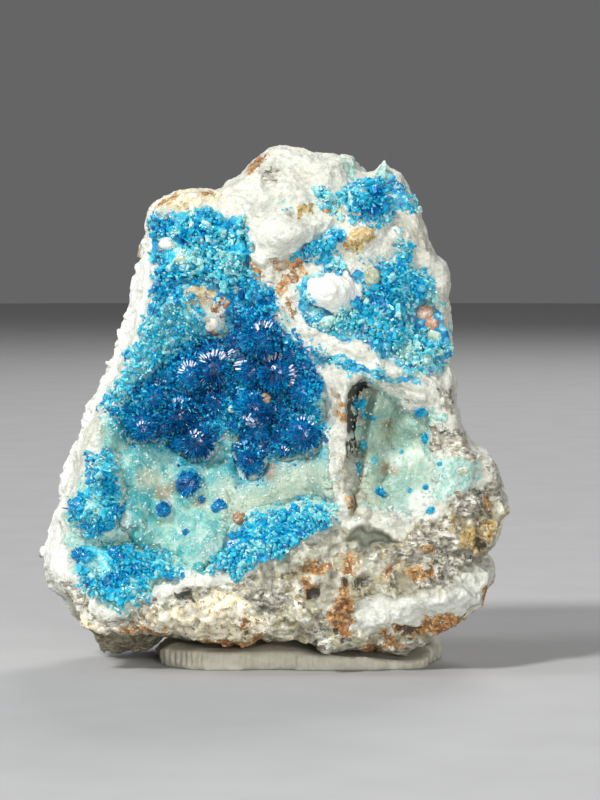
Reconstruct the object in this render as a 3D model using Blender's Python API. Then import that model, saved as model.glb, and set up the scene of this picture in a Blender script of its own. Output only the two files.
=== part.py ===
"""Veszelyite on its matrix, on a pad of putty. Metres, +Z up, the crystal face toward -Y.

The face is a relief: a depth Y over X and Z. The rock carries it, and each crust of crystals is a tile of its
own that follows the rock under it at a small gap. Lengths below are millimetres until a mesh is made.
"""

import math
import random

import bmesh
import bpy
import numpy as np
from mathutils import Matrix, Vector, noise
from mathutils.bvhtree import BVHTree
from mathutils.geometry import delaunay_2d_cdt

# Driving dimensions, in millimetres
MM = 0.001
GAP = 0.3
EDGE_ROUND = 0.5
ROCK_SPACING = 1.1
HIDDEN_SPACING = 2.1
CRUST_SPACING = 0.92
BACK_SPACING = 1.9
BACK_INSET = 0.9
LONGEST_SIDE_EDGE = 2.7
WANDER = 0.09
ROCK_ROUGHNESS = 0.45
SIDE_ROUGHNESS = 0.55
CRUST_EDGE = 0.3
CRUST_LEAST = 0.2
BALL_HEIGHT = 0.8
PUTTY_HEIGHT = 1.9
PUTTY_CENTRE = (1.8, 0.6)
PUTTY_HALF = (11.1, 7.2)
SEED = 7

# Outline of the whole specimen seen from the front, clockwise from its upper left corner: X, Z
OUTLINE_RIGHT = [
    (-9.4, 35.6), (-8.5, 36.4), (-7.7, 36.8), (-6.2, 36.95), (-4.2, 37.0), (-2.7, 37.9), (-1.9, 38.9),
    (-1.0, 39.6), (-0.3, 40.1), (0.9, 40.35), (2.6, 40.0), (3.3, 39.75), (5.0, 39.45), (6.1, 39.35),
    (6.6, 38.4), (7.2, 38.1), (7.9, 38.4), (8.3, 39.1), (8.9, 38.6), (10.0, 38.0), (10.8, 36.5), (11.6, 34.9),
    (12.0, 32.9), (12.6, 31.7), (13.4, 31.1), (13.7, 30.2), (13.5, 28.7), (13.75, 25.0), (14.1, 22.0),
    (14.0, 20.5), (14.3, 19.2), (15.2, 17.6), (16.7, 16.6), (17.4, 15.1), (17.7, 14.0), (18.2, 12.8),
    (18.1, 12.0), (17.4, 9.8), (17.0, 9.2), (16.2, 8.75), (15.9, 8.4), (16.2, 8.1), (17.0, 8.0), (17.0, 6.5),
    (16.5, 6.2), (16.1, 4.8), (14.5, 3.8), (14.2, 3.3), (12.4, 2.3), (11.0, 1.4), (10.3, 1.0), (9.5, 0.95),
    (8.5, 1.2), (6.0, 1.3), (4.0, 1.65), (3.0, 1.85), (1.0, 2.1), (-1.0, 2.3), (-2.5, 1.8), (-4.0, 1.8),
    (-5.6, 1.9),
]
OUTLINE_LEFT = [
    (-7.8, 1.7), (-8.6, 1.8), (-9.6, 0.7), (-10.5, 0.3), (-12.0, 0.1), (-13.6, 0.2), (-14.2, 1.4), (-14.9, 2.6),
    (-16.0, 3.3), (-16.6, 4.7), (-17.9, 6.2), (-18.1, 7.0), (-17.9, 7.7), (-18.2, 8.4), (-17.8, 10.2),
    (-17.0, 11.8), (-16.7, 12.4), (-17.3, 12.9), (-17.1, 14.2), (-16.2, 16.1), (-15.1, 18.8), (-15.2, 19.8),
    (-14.3, 21.2), (-13.4, 23.0), (-12.5, 25.0), (-11.2, 26.6), (-10.9, 28.0), (-10.5, 30.3), (-10.0, 32.0),
    (-9.9, 33.0), (-10.05, 34.6),
]
# Edge between the crystal face and the pale flank that falls back on the left, upward from the bottom
FLANK_EDGE = [
    (-6.6, 2.6), (-8.2, 2.9), (-11.5, 3.0), (-14.6, 3.4), (-15.2, 4.4), (-15.7, 5.8), (-16.5, 7.2), (-16.7, 8.4),
    (-16.3, 9.6), (-15.5, 10.9), (-15.9, 12.5), (-15.5, 13.6), (-14.9, 15.2), (-14.2, 16.6), (-13.8, 17.6),
    (-13.4, 19.0), (-13.0, 20.5), (-12.3, 22.1), (-11.5, 23.6), (-10.6, 25.4), (-9.7, 26.8), (-9.3, 28.4),
    (-9.4, 30.6), (-9.6, 32.2), (-9.6, 34.0),
]

# Rims of the hollows in the face
VUG_RIM = [
    (-2.9, 28.4), (-1.6, 28.6), (-0.2, 28.6), (0.6, 27.3), (1.3, 26.2), (3.0, 24.9), (4.4, 23.6), (4.4, 22.0),
    (4.6, 20.6), (4.5, 19.0), (4.7, 17.0), (4.6, 15.4), (4.9, 13.8), (5.3, 12.4), (5.3, 11.2), (5.0, 10.4),
    (3.0, 10.2), (1.4, 9.5), (0.2, 8.4), (-1.6, 7.9), (-2.8, 7.1), (-5.0, 7.2), (-6.6, 6.8), (-8.3, 5.9),
    (-9.6, 5.4), (-11.0, 4.8), (-12.3, 4.6), (-13.2, 5.0), (-14.4, 5.9), (-15.4, 7.0), (-16.0, 8.3),
    (-15.7, 9.4), (-14.9, 10.7), (-15.4, 12.5), (-14.9, 13.9), (-14.2, 15.3), (-13.6, 16.8), (-12.8, 19.4),
    (-12.4, 20.7), (-11.7, 22.3), (-10.8, 23.9), (-9.9, 25.6), (-9.1, 27.0), (-8.6, 28.3), (-7.4, 29.1),
    (-5.6, 29.4), (-3.9, 28.9),
]
RIGHT_HOLLOW_RIM = [
    (6.2, 21.6), (7.4, 22.0), (8.4, 22.0), (9.2, 21.2), (10.2, 20.3), (11.8, 20.3), (12.2, 18.9), (12.2, 17.6),
    (12.4, 16.0), (12.8, 15.0), (12.4, 13.1), (11.9, 12.4), (11.0, 12.0), (9.8, 11.3), (8.0, 11.9), (7.1, 11.7),
    (6.7, 12.5), (6.4, 13.7), (6.1, 16.0), (6.0, 18.9), (6.2, 20.3),
]
POCKET_RIM = [
    (5.8, 10.2), (6.7, 10.4), (7.1, 10.95), (8.4, 10.6), (9.3, 10.2), (8.9, 9.8), (8.1, 9.5), (6.9, 9.4),
]
UPPER_RIGHT_RIM = [
    (8.0, 31.1), (9.0, 31.4), (9.4, 32.8), (10.4, 32.8), (10.6, 31.3), (12.1, 30.2), (13.0, 28.9), (13.1, 24.6),
    (12.5, 22.9), (10.3, 22.9), (9.4, 23.5), (8.1, 24.7), (6.9, 25.4), (5.5, 26.1), (4.0, 25.9), (3.0, 26.7),
    (5.4, 27.5), (6.7, 28.7), (7.7, 29.0),
]
UPPER_LEFT_RIM = [
    (-9.1, 34.7), (-6.8, 35.2), (-4.1, 35.2), (-2.2, 34.4), (-1.9, 32.2), (-2.1, 30.6), (-1.6, 29.6),
    (-2.6, 28.9), (-4.0, 29.4), (-5.6, 29.9), (-7.4, 29.6), (-8.6, 29.1), (-8.9, 30.9), (-9.2, 32.4),
]

# Depth of the surface at spots on it: X, Z, Y. Less Y is nearer to the viewer.
FACE_SPOTS = [
    (-15.5, 6.0, -5.5), (-13.0, 4.0, -7.8), (-8.0, 4.0, -8.8), (-5.0, 4.2, -9.2), (-2.0, 5.0, -9.4),
    (0.0, 6.5, -9.6), (3.0, 4.0, -9.2), (6.0, 4.5, -9.0), (9.0, 5.0, -9.2), (12.0, 5.5, -8.8), (15.0, 6.0, -8.0),
    (16.5, 7.5, -6.8), (-8.0, 2.4, -7.0), (-3.0, 2.3, -8.0), (3.0, 2.2, -8.2), (8.0, 1.8, -7.8),
    (12.0, 2.7, -7.4), (15.0, 4.4, -6.8), (-14.5, 6.3, -7.3), (-12.3, 4.8, -8.6), (-9.0, 5.8, -9.2),
    (-5.0, 7.4, -9.5), (-1.0, 7.6, -9.8), (2.0, 8.8, -9.7), (5.5, 9.3, -9.5), (8.0, 9.0, -9.3),
    (11.0, 9.0, -9.0), (14.0, 10.0, -8.2), (16.5, 11.5, -7.0), (17.5, 12.8, -5.8), (13.5, 13.0, -8.3),
    (14.5, 16.0, -7.9), (13.6, 19.0, -7.6), (16.5, 15.5, -6.4), (13.6, 22.0, -6.8), (-16.2, 8.5, -5.0),
    (-15.5, 12.5, -5.6), (-14.4, 16.0, -5.8), (-13.2, 19.5, -5.8), (-12.0, 22.5, -5.8), (-10.3, 26.0, -5.8),
    (-9.3, 29.0, -5.8), (-9.6, 33.0, -5.0), (-9.3, 35.0, -4.4), (5.3, 15.0, -8.7), (5.3, 19.0, -8.4),
    (5.0, 22.0, -8.4), (3.6, 25.4, -8.3), (7.0, 24.2, -8.4), (10.5, 22.0, -8.0), (1.0, 28.2, -7.9),
    (0.0, 30.0, -7.6), (4.3, 29.0, -7.5), (7.5, 29.8, -7.1), (-3.0, 29.2, -6.9), (-6.5, 29.4, -6.2),
    (-1.5, 34.6, -6.9), (1.0, 33.5, -7.2), (3.0, 31.6, -7.1), (6.5, 33.4, -6.8), (9.5, 33.4, -6.2),
    (11.5, 32.3, -5.2), (13.0, 30.0, -5.2), (13.4, 27.0, -5.8), (13.4, 24.0, -6.0), (-8.5, 36.0, -4.0),
    (-5.0, 36.2, -4.6), (-2.0, 37.5, -4.6), (1.0, 36.5, -6.0), (4.0, 37.2, -5.6), (7.0, 36.0, -6.0),
    (9.8, 35.5, -5.2), (10.8, 35.0, -4.6), (0.0, 39.2, -3.0), (3.0, 38.8, -3.4), (6.0, 38.6, -3.6),
    (8.2, 38.2, -4.0), (9.6, 37.4, -3.8),
]
VUG_SPOTS = [
    (-11.5, 21.5, -4.4), (-9.5, 24.0, -4.6), (-7.0, 27.3, -5.2), (-4.0, 27.8, -5.5), (-1.0, 26.5, -5.4),
    (-6.0, 24.0, -3.8), (-8.0, 21.0, -3.4), (-5.0, 21.0, -3.0), (-1.5, 23.0, -4.4), (1.5, 23.5, -5.4),
    (2.0, 20.0, -5.0), (-1.0, 19.0, -4.0), (-10.5, 18.5, -3.8), (-7.0, 18.0, -2.8), (-12.6, 15.5, -4.6),
    (-13.2, 12.8, -4.9), (-9.0, 15.0, -3.2), (-4.0, 16.0, -3.4), (0.0, 16.5, -4.6), (3.0, 17.0, -5.6),
    (3.5, 14.0, -6.0), (0.0, 13.5, -5.4), (-4.0, 13.0, -4.6), (-8.0, 12.0, -4.4), (-11.0, 11.5, -4.9),
    (-12.0, 8.5, -5.4), (-9.0, 9.0, -5.8), (-5.0, 9.5, -6.4), (-1.0, 10.5, -7.1), (3.0, 11.5, -7.3),
    (-14.5, 8.5, -5.2), (-12.0, 6.5, -6.9), (-8.0, 7.4, -7.5), (4.5, 11.6, -7.5),
]
RIGHT_HOLLOW_SPOTS = [
    (6.8, 20.5, -4.3), (8.4, 21.0, -3.7), (10.5, 19.6, -4.0), (7.0, 17.5, -3.5), (9.0, 17.5, -3.5),
    (11.3, 17.5, -4.6), (6.9, 14.5, -4.5), (8.8, 15.0, -4.3), (10.8, 15.0, -5.3), (12.2, 14.2, -6.6),
    (8.0, 12.6, -5.7), (10.2, 12.4, -6.4),
]
POCKET_SPOTS = [(7.0, 10.2, -6.2), (8.3, 10.2, -6.6)]
UPPER_RIGHT_SPOTS = [
    (9.6, 32.0, -5.2), (9.3, 29.5, -5.6), (11.4, 29.4, -5.0), (10.0, 26.0, -5.4), (8.0, 26.8, -5.8),
    (5.5, 26.6, -6.4), (11.8, 24.0, -5.3), (9.8, 24.4, -5.6), (3.9, 26.4, -6.8),
]
UPPER_LEFT_SPOTS = [
    (-8.4, 34.0, -4.3), (-5.0, 34.2, -4.9), (-3.0, 33.0, -5.5), (-6.5, 31.0, -5.1), (-3.2, 30.4, -5.8),
    (-8.3, 30.4, -4.7),
]
# Each hollow: its rim, the depths in it, and the width over which its wall falls
HOLLOWS = [
    (VUG_RIM, VUG_SPOTS, 2.0),
    (RIGHT_HOLLOW_RIM, RIGHT_HOLLOW_SPOTS, 1.3),
    (POCKET_RIM, POCKET_SPOTS, 0.5),
    (UPPER_RIGHT_RIM, UPPER_RIGHT_SPOTS, 1.0),
    (UPPER_LEFT_RIM, UPPER_LEFT_SPOTS, 1.0),
]

# Chips, blocks and blocky crystals that stand out of the rock: outline, height, width of their bevelled edge
LUMPS = [
    ([(-1.7, 33.8), (-1.2, 34.7), (0.8, 35.1), (2.3, 34.3), (4.5, 34.2), (3.6, 33.6), (1.5, 32.2), (-0.3, 31.5),
      (-1.5, 32.2)], 1.3, 0.7),
    ([(2.5, 29.2), (3.2, 30.1), (5.6, 30.1), (6.5, 29.2), (5.8, 28.3), (4.1, 27.8), (3.0, 28.2)], 1.3, 0.5),
    ([(5.3, 32.8), (6.6, 33.8), (7.7, 33.9), (7.6, 33.1), (6.4, 32.4), (5.5, 32.3)], 1.0, 0.4),
    ([(10.8, 27.3), (11.4, 27.9), (12.1, 27.8), (12.6, 26.6), (12.4, 25.8), (11.7, 25.9), (10.9, 26.8)], 1.5, 0.5),
    ([(9.8, 4.8), (12.0, 4.3), (15.2, 5.3), (15.9, 6.6), (14.5, 7.6), (11.5, 7.7), (9.9, 6.6)], 0.9, 0.8),
    ([(7.4, 3.2), (9.1, 3.1), (9.3, 5.0), (8.7, 5.7), (7.5, 5.5)], 0.8, 0.5),
    ([(0.9, 3.3), (3.4, 3.3), (3.9, 5.2), (2.2, 6.3), (0.6, 5.3)], 0.7, 0.7),
    ([(5.2, 5.3), (6.6, 4.6), (6.9, 6.6), (5.7, 7.4), (4.7, 6.6)], 0.6, 0.6),
    ([(10.2, 9.3), (12.4, 9.0), (13.8, 10.4), (12.6, 11.5), (10.8, 10.9)], 0.7, 0.6),
    ([(-10.6, 3.9), (-6.0, 3.3), (-2.0, 3.2), (-1.8, 4.9), (-3.5, 6.1), (-6.5, 5.6), (-9.2, 4.8)], 0.8, 0.8),
    ([(13.6, 14.6), (14.9, 14.9), (15.6, 15.7), (14.9, 16.5), (13.7, 16.2)], 0.8, 0.6),
    ([(-0.6, 36.9), (1.4, 37.5), (3.0, 37.4), (2.4, 36.4), (0.4, 36.1)], 0.8, 0.6),
    ([(1.0, 38.9), (3.4, 38.7), (4.9, 38.1), (3.4, 37.8), (1.6, 38.1)], 0.6, 0.4),
    ([(7.6, 22.9), (9.0, 22.5), (11.2, 21.7), (12.8, 21.9), (11.2, 22.4), (9.2, 23.1)], 0.7, 0.4),
]
# Ledges that run on under the crusts, raised in the same way
LEDGES = [
    ([(-15.2, 10.9), (-14.0, 10.0), (-12.6, 10.1), (-10.9, 10.5), (-10.0, 11.8), (-10.3, 13.2), (-11.2, 14.8),
      (-12.1, 16.7), (-13.6, 16.9), (-14.9, 14.6), (-15.6, 12.6)], 1.3, 0.5),
    ([(-11.8, 20.0), (-9.6, 22.7), (-7.2, 25.4), (-8.0, 26.0), (-10.2, 23.8), (-12.2, 21.2)], 0.7, 0.5),
]

# Outlines of the crusts
MAIN_CLUSTER = [
    (-2.9, 27.8), (-0.4, 27.9), (0.7, 26.4), (2.8, 24.4), (3.6, 22.6), (3.8, 21.2), (3.2, 19.5), (3.9, 18.2),
    (3.2, 17.0), (1.4, 16.4), (-0.5, 16.3), (-1.2, 15.0), (-2.3, 15.0), (-2.8, 16.2), (-2.8, 17.9), (-4.5, 18.0),
    (-5.0, 16.5), (-6.4, 16.0), (-8.2, 17.4), (-10.8, 17.5), (-11.2, 18.5), (-11.9, 19.6), (-11.0, 21.1),
    (-9.4, 22.9), (-8.0, 24.2), (-6.9, 25.3), (-3.4, 25.5), (-3.2, 26.6),
]
CURL = [
    (-14.9, 13.2), (-14.2, 14.9), (-13.5, 16.2), (-12.6, 16.3), (-12.0, 14.9), (-11.6, 13.4), (-11.7, 11.6),
    (-13.1, 10.5), (-14.5, 10.9), (-15.0, 12.1),
]
LOWER_LEFT = [
    (-15.4, 8.2), (-15.0, 7.3), (-13.4, 5.8), (-12.2, 5.3), (-11.4, 5.2), (-9.8, 5.9), (-9.9, 6.5), (-9.2, 7.1),
    (-7.2, 7.4), (-6.9, 8.0), (-7.9, 8.7), (-9.4, 9.3), (-10.2, 9.2), (-11.4, 9.8), (-12.8, 9.6), (-14.8, 9.6),
]
LOWER_MIDDLE = [
    (-5.0, 7.9), (-3.6, 7.9), (-2.7, 7.6), (-1.5, 8.5), (0.2, 9.0), (1.5, 10.1), (3.0, 10.8), (4.5, 11.1),
    (4.6, 12.2), (3.9, 12.9), (2.8, 13.1), (1.2, 12.7), (-0.4, 12.3), (-1.8, 11.7), (-2.6, 11.0), (-3.4, 10.4),
    (-3.6, 9.5),
]
UPPER_RIGHT = [
    (8.3, 30.9), (9.3, 31.1), (9.7, 32.4), (10.1, 32.4), (10.3, 31.0), (11.9, 29.9), (12.6, 28.9), (12.4, 28.5),
    (11.1, 28.4), (10.2, 27.4), (10.4, 26.5), (11.5, 25.3), (12.6, 25.1), (12.7, 24.4), (12.3, 23.3),
    (10.5, 23.3), (9.6, 23.9), (8.3, 25.1), (7.0, 25.8), (5.6, 26.5), (4.2, 26.3), (4.0, 26.8), (5.6, 27.2),
    (6.9, 28.3), (7.9, 28.7),
]
UPPER_LEFT = [
    (-8.7, 34.3), (-6.8, 34.8), (-4.2, 34.8), (-2.6, 34.1), (-2.3, 32.2), (-2.5, 30.7), (-2.1, 29.8),
    (-2.7, 29.3), (-4.0, 29.8), (-5.6, 30.3), (-7.4, 30.0), (-8.4, 29.8), (-8.5, 30.9), (-8.8, 32.4),
]
TOP_RIGHT = [
    (5.1, 35.9), (5.7, 36.9), (6.4, 37.4), (7.5, 37.2), (8.3, 37.1), (8.5, 35.9), (9.1, 35.4), (8.9, 34.7),
    (8.1, 34.4), (7.3, 35.0), (6.4, 34.8), (5.7, 35.0),
]
TOP_PATCH = [(3.1, 36.4), (3.7, 36.9), (4.4, 36.2), (4.6, 34.9), (3.7, 35.6)]
STREAK = [(2.1, 31.8), (2.6, 32.5), (4.2, 33.2), (5.0, 33.3), (4.4, 32.4), (2.8, 31.7)]
DRUSE_MAIN = [
    (-12.5, 19.1), (-11.7, 18.4), (-11.4, 17.0), (-8.4, 16.8), (-6.5, 15.4), (-4.6, 15.9), (-4.1, 17.4),
    (-3.3, 17.3), (-3.3, 15.9), (-2.7, 14.4), (-1.0, 14.4), (-0.2, 15.7), (1.5, 15.8), (3.5, 16.5), (4.2, 17.2),
    (4.1, 15.3), (4.5, 13.6), (4.1, 13.4), (2.8, 13.7), (1.0, 13.3), (-0.6, 12.9), (-2.0, 12.3), (-3.0, 11.5),
    (-3.9, 10.8), (-4.1, 9.6), (-5.0, 8.7), (-5.6, 7.6), (-6.5, 7.4), (-6.5, 8.2), (-7.7, 9.2), (-9.4, 9.8),
    (-10.3, 9.7), (-11.0, 10.3), (-11.1, 11.6), (-11.1, 13.5), (-11.5, 15.0), (-12.2, 16.9), (-13.1, 17.0),
]
DRUSE_LEFT = [
    (-11.8, 20.9), (-10.8, 22.1), (-9.6, 23.5), (-8.4, 24.7), (-7.2, 25.9), (-5.4, 26.1), (-4.0, 26.2),
    (-4.0, 27.6), (-5.6, 28.6), (-7.4, 28.3), (-8.3, 27.8), (-8.8, 26.9), (-9.6, 25.5), (-10.5, 23.8),
    (-11.3, 22.2),
]
DRUSE_RIGHT = [
    (6.7, 21.1), (7.5, 21.5), (8.2, 21.5), (8.8, 20.8), (9.9, 19.8), (11.4, 19.8), (11.7, 18.9), (11.7, 17.5),
    (11.9, 16.0), (12.3, 15.0), (11.9, 13.2), (11.0, 12.6), (9.8, 11.9), (8.2, 12.4), (7.5, 12.3), (7.1, 13.0),
    (6.9, 13.9), (6.6, 16.0), (6.5, 18.9), (6.7, 20.2),
]

# Balls and rosettes of blue crystals: X, Z, radius
MAIN_ROSETTES = [
    (-0.9, 25.6, 1.6), (-4.6, 23.2, 1.6), (0.2, 22.8, 1.6), (-6.7, 22.5, 1.2), (-1.6, 20.2, 1.8), (2.2, 18.4, 1.2),
    (-1.8, 16.4, 1.0), (-5.9, 17.6, 1.2), (-9.8, 18.9, 1.2), (-7.2, 20.0, 1.4), (-4.4, 20.4, 1.2),
    (2.3, 21.3, 1.2), (-9.3, 21.4, 0.9), (-2.2, 22.6, 1.0),
]
DRUSE_BALLS = [(-6.5, 13.9, 1.15), (-8.6, 12.3, 0.75), (-4.1, 12.6, 0.85), (2.2, 14.9, 0.6)]
RIGHT_BALLS = [(7.5, 20.2, 0.6), (10.6, 18.9, 0.6), (7.9, 13.6, 0.65), (9.9, 16.2, 0.5), (7.6, 16.6, 0.55)]
LOWER_LEFT_BALLS = [(-14.2, 8.6, 0.8), (-12.0, 8.6, 1.0), (-13.4, 6.8, 0.7), (-10.8, 6.6, 0.8), (-8.8, 8.1, 0.7)]
LOWER_MIDDLE_BALLS = [(-3.9, 8.6, 0.6), (-2.2, 10.0, 0.8), (-0.2, 10.6, 0.9), (1.9, 11.8, 0.8), (3.7, 12.0, 0.6)]
CURL_BALLS = [(-14.2, 12.5, 0.7), (-12.9, 15.4, 0.7), (-12.6, 12.0, 0.8)]
UPPER_RIGHT_BALLS = [(9.2, 29.6, 0.8), (11.3, 29.1, 0.7), (9.0, 27.6, 0.8), (8.9, 25.8, 0.7), (11.4, 24.2, 0.7)]
UPPER_LEFT_BALLS = [(-7.3, 33.4, 0.8), (-4.8, 33.5, 0.9), (-3.6, 31.4, 0.8), (-6.4, 31.6, 0.8)]
TOP_RIGHT_BALLS = [(6.6, 36.2, 0.7), (7.9, 35.7, 0.6)]

# Each crust: name, outline, thickness, height of its crystal points, balls on it, colour
BLUE = (0.0, 0.14, 0.3)
AZURE = (0.0, 0.3, 0.62)
AQUA = (0.42, 0.66, 0.56)
CRUSTS = [
    ("druse_main", DRUSE_MAIN, 0.55, 0.35, DRUSE_BALLS, AQUA),
    ("druse_left", DRUSE_LEFT, 0.5, 0.35, [], AQUA),
    ("druse_right", DRUSE_RIGHT, 0.5, 0.35, RIGHT_BALLS, AQUA),
    ("veszelyite_main", MAIN_CLUSTER, 0.7, 0.5, MAIN_ROSETTES, BLUE),
    ("veszelyite_upper_left", UPPER_LEFT, 0.5, 0.5, UPPER_LEFT_BALLS, AZURE),
    ("veszelyite_curl", CURL, 0.6, 0.4, CURL_BALLS, AZURE),
    ("veszelyite_lower_left", LOWER_LEFT, 0.6, 0.45, LOWER_LEFT_BALLS, AZURE),
    ("veszelyite_lower_middle", LOWER_MIDDLE, 0.6, 0.45, LOWER_MIDDLE_BALLS, AZURE),
    ("veszelyite_upper_right", UPPER_RIGHT, 0.5, 0.5, UPPER_RIGHT_BALLS, AZURE),
    ("veszelyite_top_right", TOP_RIGHT, 0.5, 0.5, TOP_RIGHT_BALLS, AZURE),
    ("veszelyite_top_patch", TOP_PATCH, 0.5, 0.4, [], AZURE),
    ("veszelyite_streak", STREAK, 0.5, 0.4, [], AZURE),
]

# Depth at which the outline of the whole specimen lies: X, Z, Y
SIDE_SPOTS = [
    (-18.0, 8.0, 0.5), (-17.0, 14.0, 2.5), (-15.0, 19.0, 4.0), (-13.0, 24.0, 4.5), (-10.8, 28.5, 3.0),
    (-10.0, 33.0, -1.5), (-9.5, 35.5, -2.6), (-6.0, 37.0, -2.0), (-1.0, 39.5, -1.0), (1.0, 40.3, -0.4),
    (5.0, 39.5, -1.5), (8.5, 38.8, -2.6), (11.0, 36.0, -2.6), (12.5, 32.0, -3.0), (13.8, 25.0, -4.0),
    (14.2, 20.0, -4.6), (16.0, 17.0, -4.4), (18.2, 12.8, -3.6), (17.0, 9.0, -4.0), (17.0, 7.0, -4.2),
    (15.0, 4.0, -4.6), (11.0, 1.2, -4.4), (5.0, 1.4, -5.0), (0.0, 2.0, -5.0), (-5.0, 1.8, -3.6),
    (-9.0, 1.0, 0.0), (-12.0, 0.1, 2.0), (-14.5, 2.0, 1.0), (-16.5, 4.5, 0.5),
]
# Broken faces of the back, each a plane: Y at the origin of X and Z, slope along X, slope along Z
BACK_PLANES = [
    (11.2, -0.06, 0.03), (19.0, 0.95, -0.12), (18.5, -1.0, 0.08), (38.0, 0.25, -0.9), (6.6, 0.05, 1.1),
    (30.5, -0.7, -0.55), (21.0, 0.62, 0.25),
]


def inset(outline, distance):
    """The outline moved inward by a distance, point by point. Outlines run clockwise."""
    moved = []
    for i, (x, z) in enumerate(outline):
        before = Vector(outline[i - 1])
        after = Vector(outline[(i + 1) % len(outline)])
        along = (after - before).normalized()
        moved.append((x + along.y * distance, z - along.x * distance))
    return moved


def smoothed(outline, passes):
    """The outline with each point drawn toward its neighbours."""
    for _ in range(passes):
        outline = [
            tuple(0.25 * a + 0.5 * b + 0.25 * c for a, b, c in zip(outline[i - 1], point, after))
            for i, (point, after) in enumerate(zip(outline, outline[1:] + outline[:1]))
        ]
    return outline


def divided(outline, spacing):
    """The outline with points added so that no stretch is longer than the spacing. They wander off the line."""
    points = []
    for start, end in zip(outline, outline[1:] + outline[:1]):
        run = Vector(end) - Vector(start)
        steps = max(1, math.ceil(run.length / spacing))
        points.append(start)
        for k in range(1, steps):
            off = WANDER * (-1) ** k * run.orthogonal().normalized()
            points.append(tuple(Vector(start) + run * k / steps + off))
    return points


def depth_inside(points, outline):
    """Distance of each point from the outline, positive inside it."""
    corners = np.array(outline)
    ends = np.roll(corners, -1, axis=0)
    run = ends - corners
    offset = points[:, None, :] - corners[None]
    share = np.clip((offset * run).sum(2) / (run * run).sum(1), 0.0, 1.0)
    distance = np.linalg.norm(offset - share[..., None] * run, axis=2).min(axis=1)
    crosses = (corners[:, 1] > points[:, 1:2]) != (ends[:, 1] > points[:, 1:2])
    rise = np.where(run[:, 1] == 0.0, 1.0, run[:, 1])
    left_of = points[:, :1] < corners[:, 0] + offset[..., 1] * run[:, 0] / rise
    inside = (crosses & left_of).sum(1) % 2 == 1
    return np.where(inside, distance, -distance)


def spread(spots, points):
    """Depth at each point, between the depths of the named spots."""
    spots = np.array(spots)
    square = ((points[:, None, :] - spots[None, :, :2]) ** 2).sum(2)
    weight = 1.0 / (square + 0.35) ** 1.8
    return (weight * spots[:, 2]).sum(1) / weight.sum(1)


def smoothstep(values):
    values = np.clip(values, 0.0, 1.0)
    return values * values * (3.0 - 2.0 * values)


def roughness(points, size, seed):
    """Smooth noise from -1 to 1 over X and Z, at a size in millimetres."""
    return np.array([noise.noise(Vector((x / size, z / size, seed))) for x, z in points])


def face_relief(points):
    """Y of the rock's face at each X and Z."""
    y = spread(FACE_SPOTS, points)
    for rim, spots, wall in HOLLOWS:
        share = smoothstep(depth_inside(points, rim) / wall)
        y += (spread(spots, points) - y) * share
    for outline, height, bevel in LUMPS + LEDGES:
        y -= height * np.clip((depth_inside(points, outline) + 0.05) / bevel, 0.0, 1.0)
    covered = np.zeros(len(points))
    for _, outline, *_ in CRUSTS:
        covered = np.maximum(covered, np.clip(depth_inside(points, outline) + 1.0, 0.0, 1.0))
    bumps = roughness(points, 2.6, 1.5) + 0.7 * roughness(points, 1.1, 8.5)
    return y + ROCK_ROUGHNESS * bumps * (1.0 - 0.8 * covered)


def scattered(outline, spacing, rng, keep_off, share=0.5):
    """Points at about a spacing inside an outline, away from the given outlines."""
    corners = np.array(outline)
    low, high = corners.min(axis=0), corners.max(axis=0)
    points = []
    row = 0
    z = low[1]
    while z < high[1]:
        x = low[0] + (row % 2) * spacing / 2
        while x < high[0]:
            points.append((x + rng.uniform(-0.3, 0.3) * spacing, z + rng.uniform(-0.3, 0.3) * spacing))
            x += spacing
        row += 1
        z += spacing * math.sqrt(3) / 2
    points = np.array(points)
    good = depth_inside(points, outline) > share * spacing
    for other in keep_off:
        good &= np.abs(depth_inside(points, other)) > share * spacing
    return points[good]


def triangulated(outlines, loose):
    """Points and triangles over the plane, with every outline kept as edges."""
    points, edges = [], []
    for outline in outlines:
        first, count = len(points), len(outline)
        points += [Vector(point) for point in outline]
        edges += [(first + i, first + (i + 1) % count) for i in range(count)]
    points += [Vector(point) for point in loose]
    placed, _, faces, *_ = delaunay_2d_cdt(points, edges, [], 0, 1e-5)
    return np.array([point[:] for point in placed]), np.array(faces)


def faces_within(points, faces, outline):
    """The triangles whose middle lies inside an outline."""
    return faces[depth_inside(points[faces].mean(axis=1), outline) > 0.0]


def found_at(points, places):
    """The index, among the points, of the one at each place."""
    return [int(np.argmin(((points - place) ** 2).sum(axis=1))) for place in places]


def material(name, colour, rough):
    made = bpy.data.materials.new(name)
    made.use_nodes = True
    shader = made.node_tree.nodes["Principled BSDF"]
    shader.inputs["Base Color"].default_value = (*colour, 1.0)
    shader.inputs["Roughness"].default_value = rough
    shader.inputs["Metallic"].default_value = 0.0
    return made


def add_object(name, bm, colour, rough):
    """Turns a millimetre mesh into an object in metres with its own material."""
    bmesh.ops.triangulate(bm, faces=bm.faces[:])
    bmesh.ops.recalc_face_normals(bm, faces=bm.faces[:])
    bmesh.ops.scale(bm, vec=(MM, MM, MM), verts=bm.verts[:])
    mesh = bpy.data.meshes.new(name)
    bm.to_mesh(mesh)
    bm.free()
    mesh.materials.append(material(name, colour, rough))
    made = bpy.data.objects.new(name, mesh)
    bpy.context.scene.collection.objects.link(made)
    return made


def band(bm, first, second):
    """Triangles between two closed loops of vertices that run the same way round."""
    start = min(range(len(second)), key=lambda k: (second[k].co - first[0].co).length)
    second = second[start:] + second[:start]
    i = j = 0
    while i < len(first) or j < len(second):
        a, b = first[i % len(first)], second[j % len(second)]
        next_a, next_b = first[(i + 1) % len(first)], second[(j + 1) % len(second)]
        first_is_shorter = (next_a.co - b.co).length < (a.co - next_b.co).length
        if j == len(second) or (i < len(first) and first_is_shorter):
            bm.faces.new((a, b, next_a))
            i += 1
        else:
            bm.faces.new((a, b, next_b))
            j += 1


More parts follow.
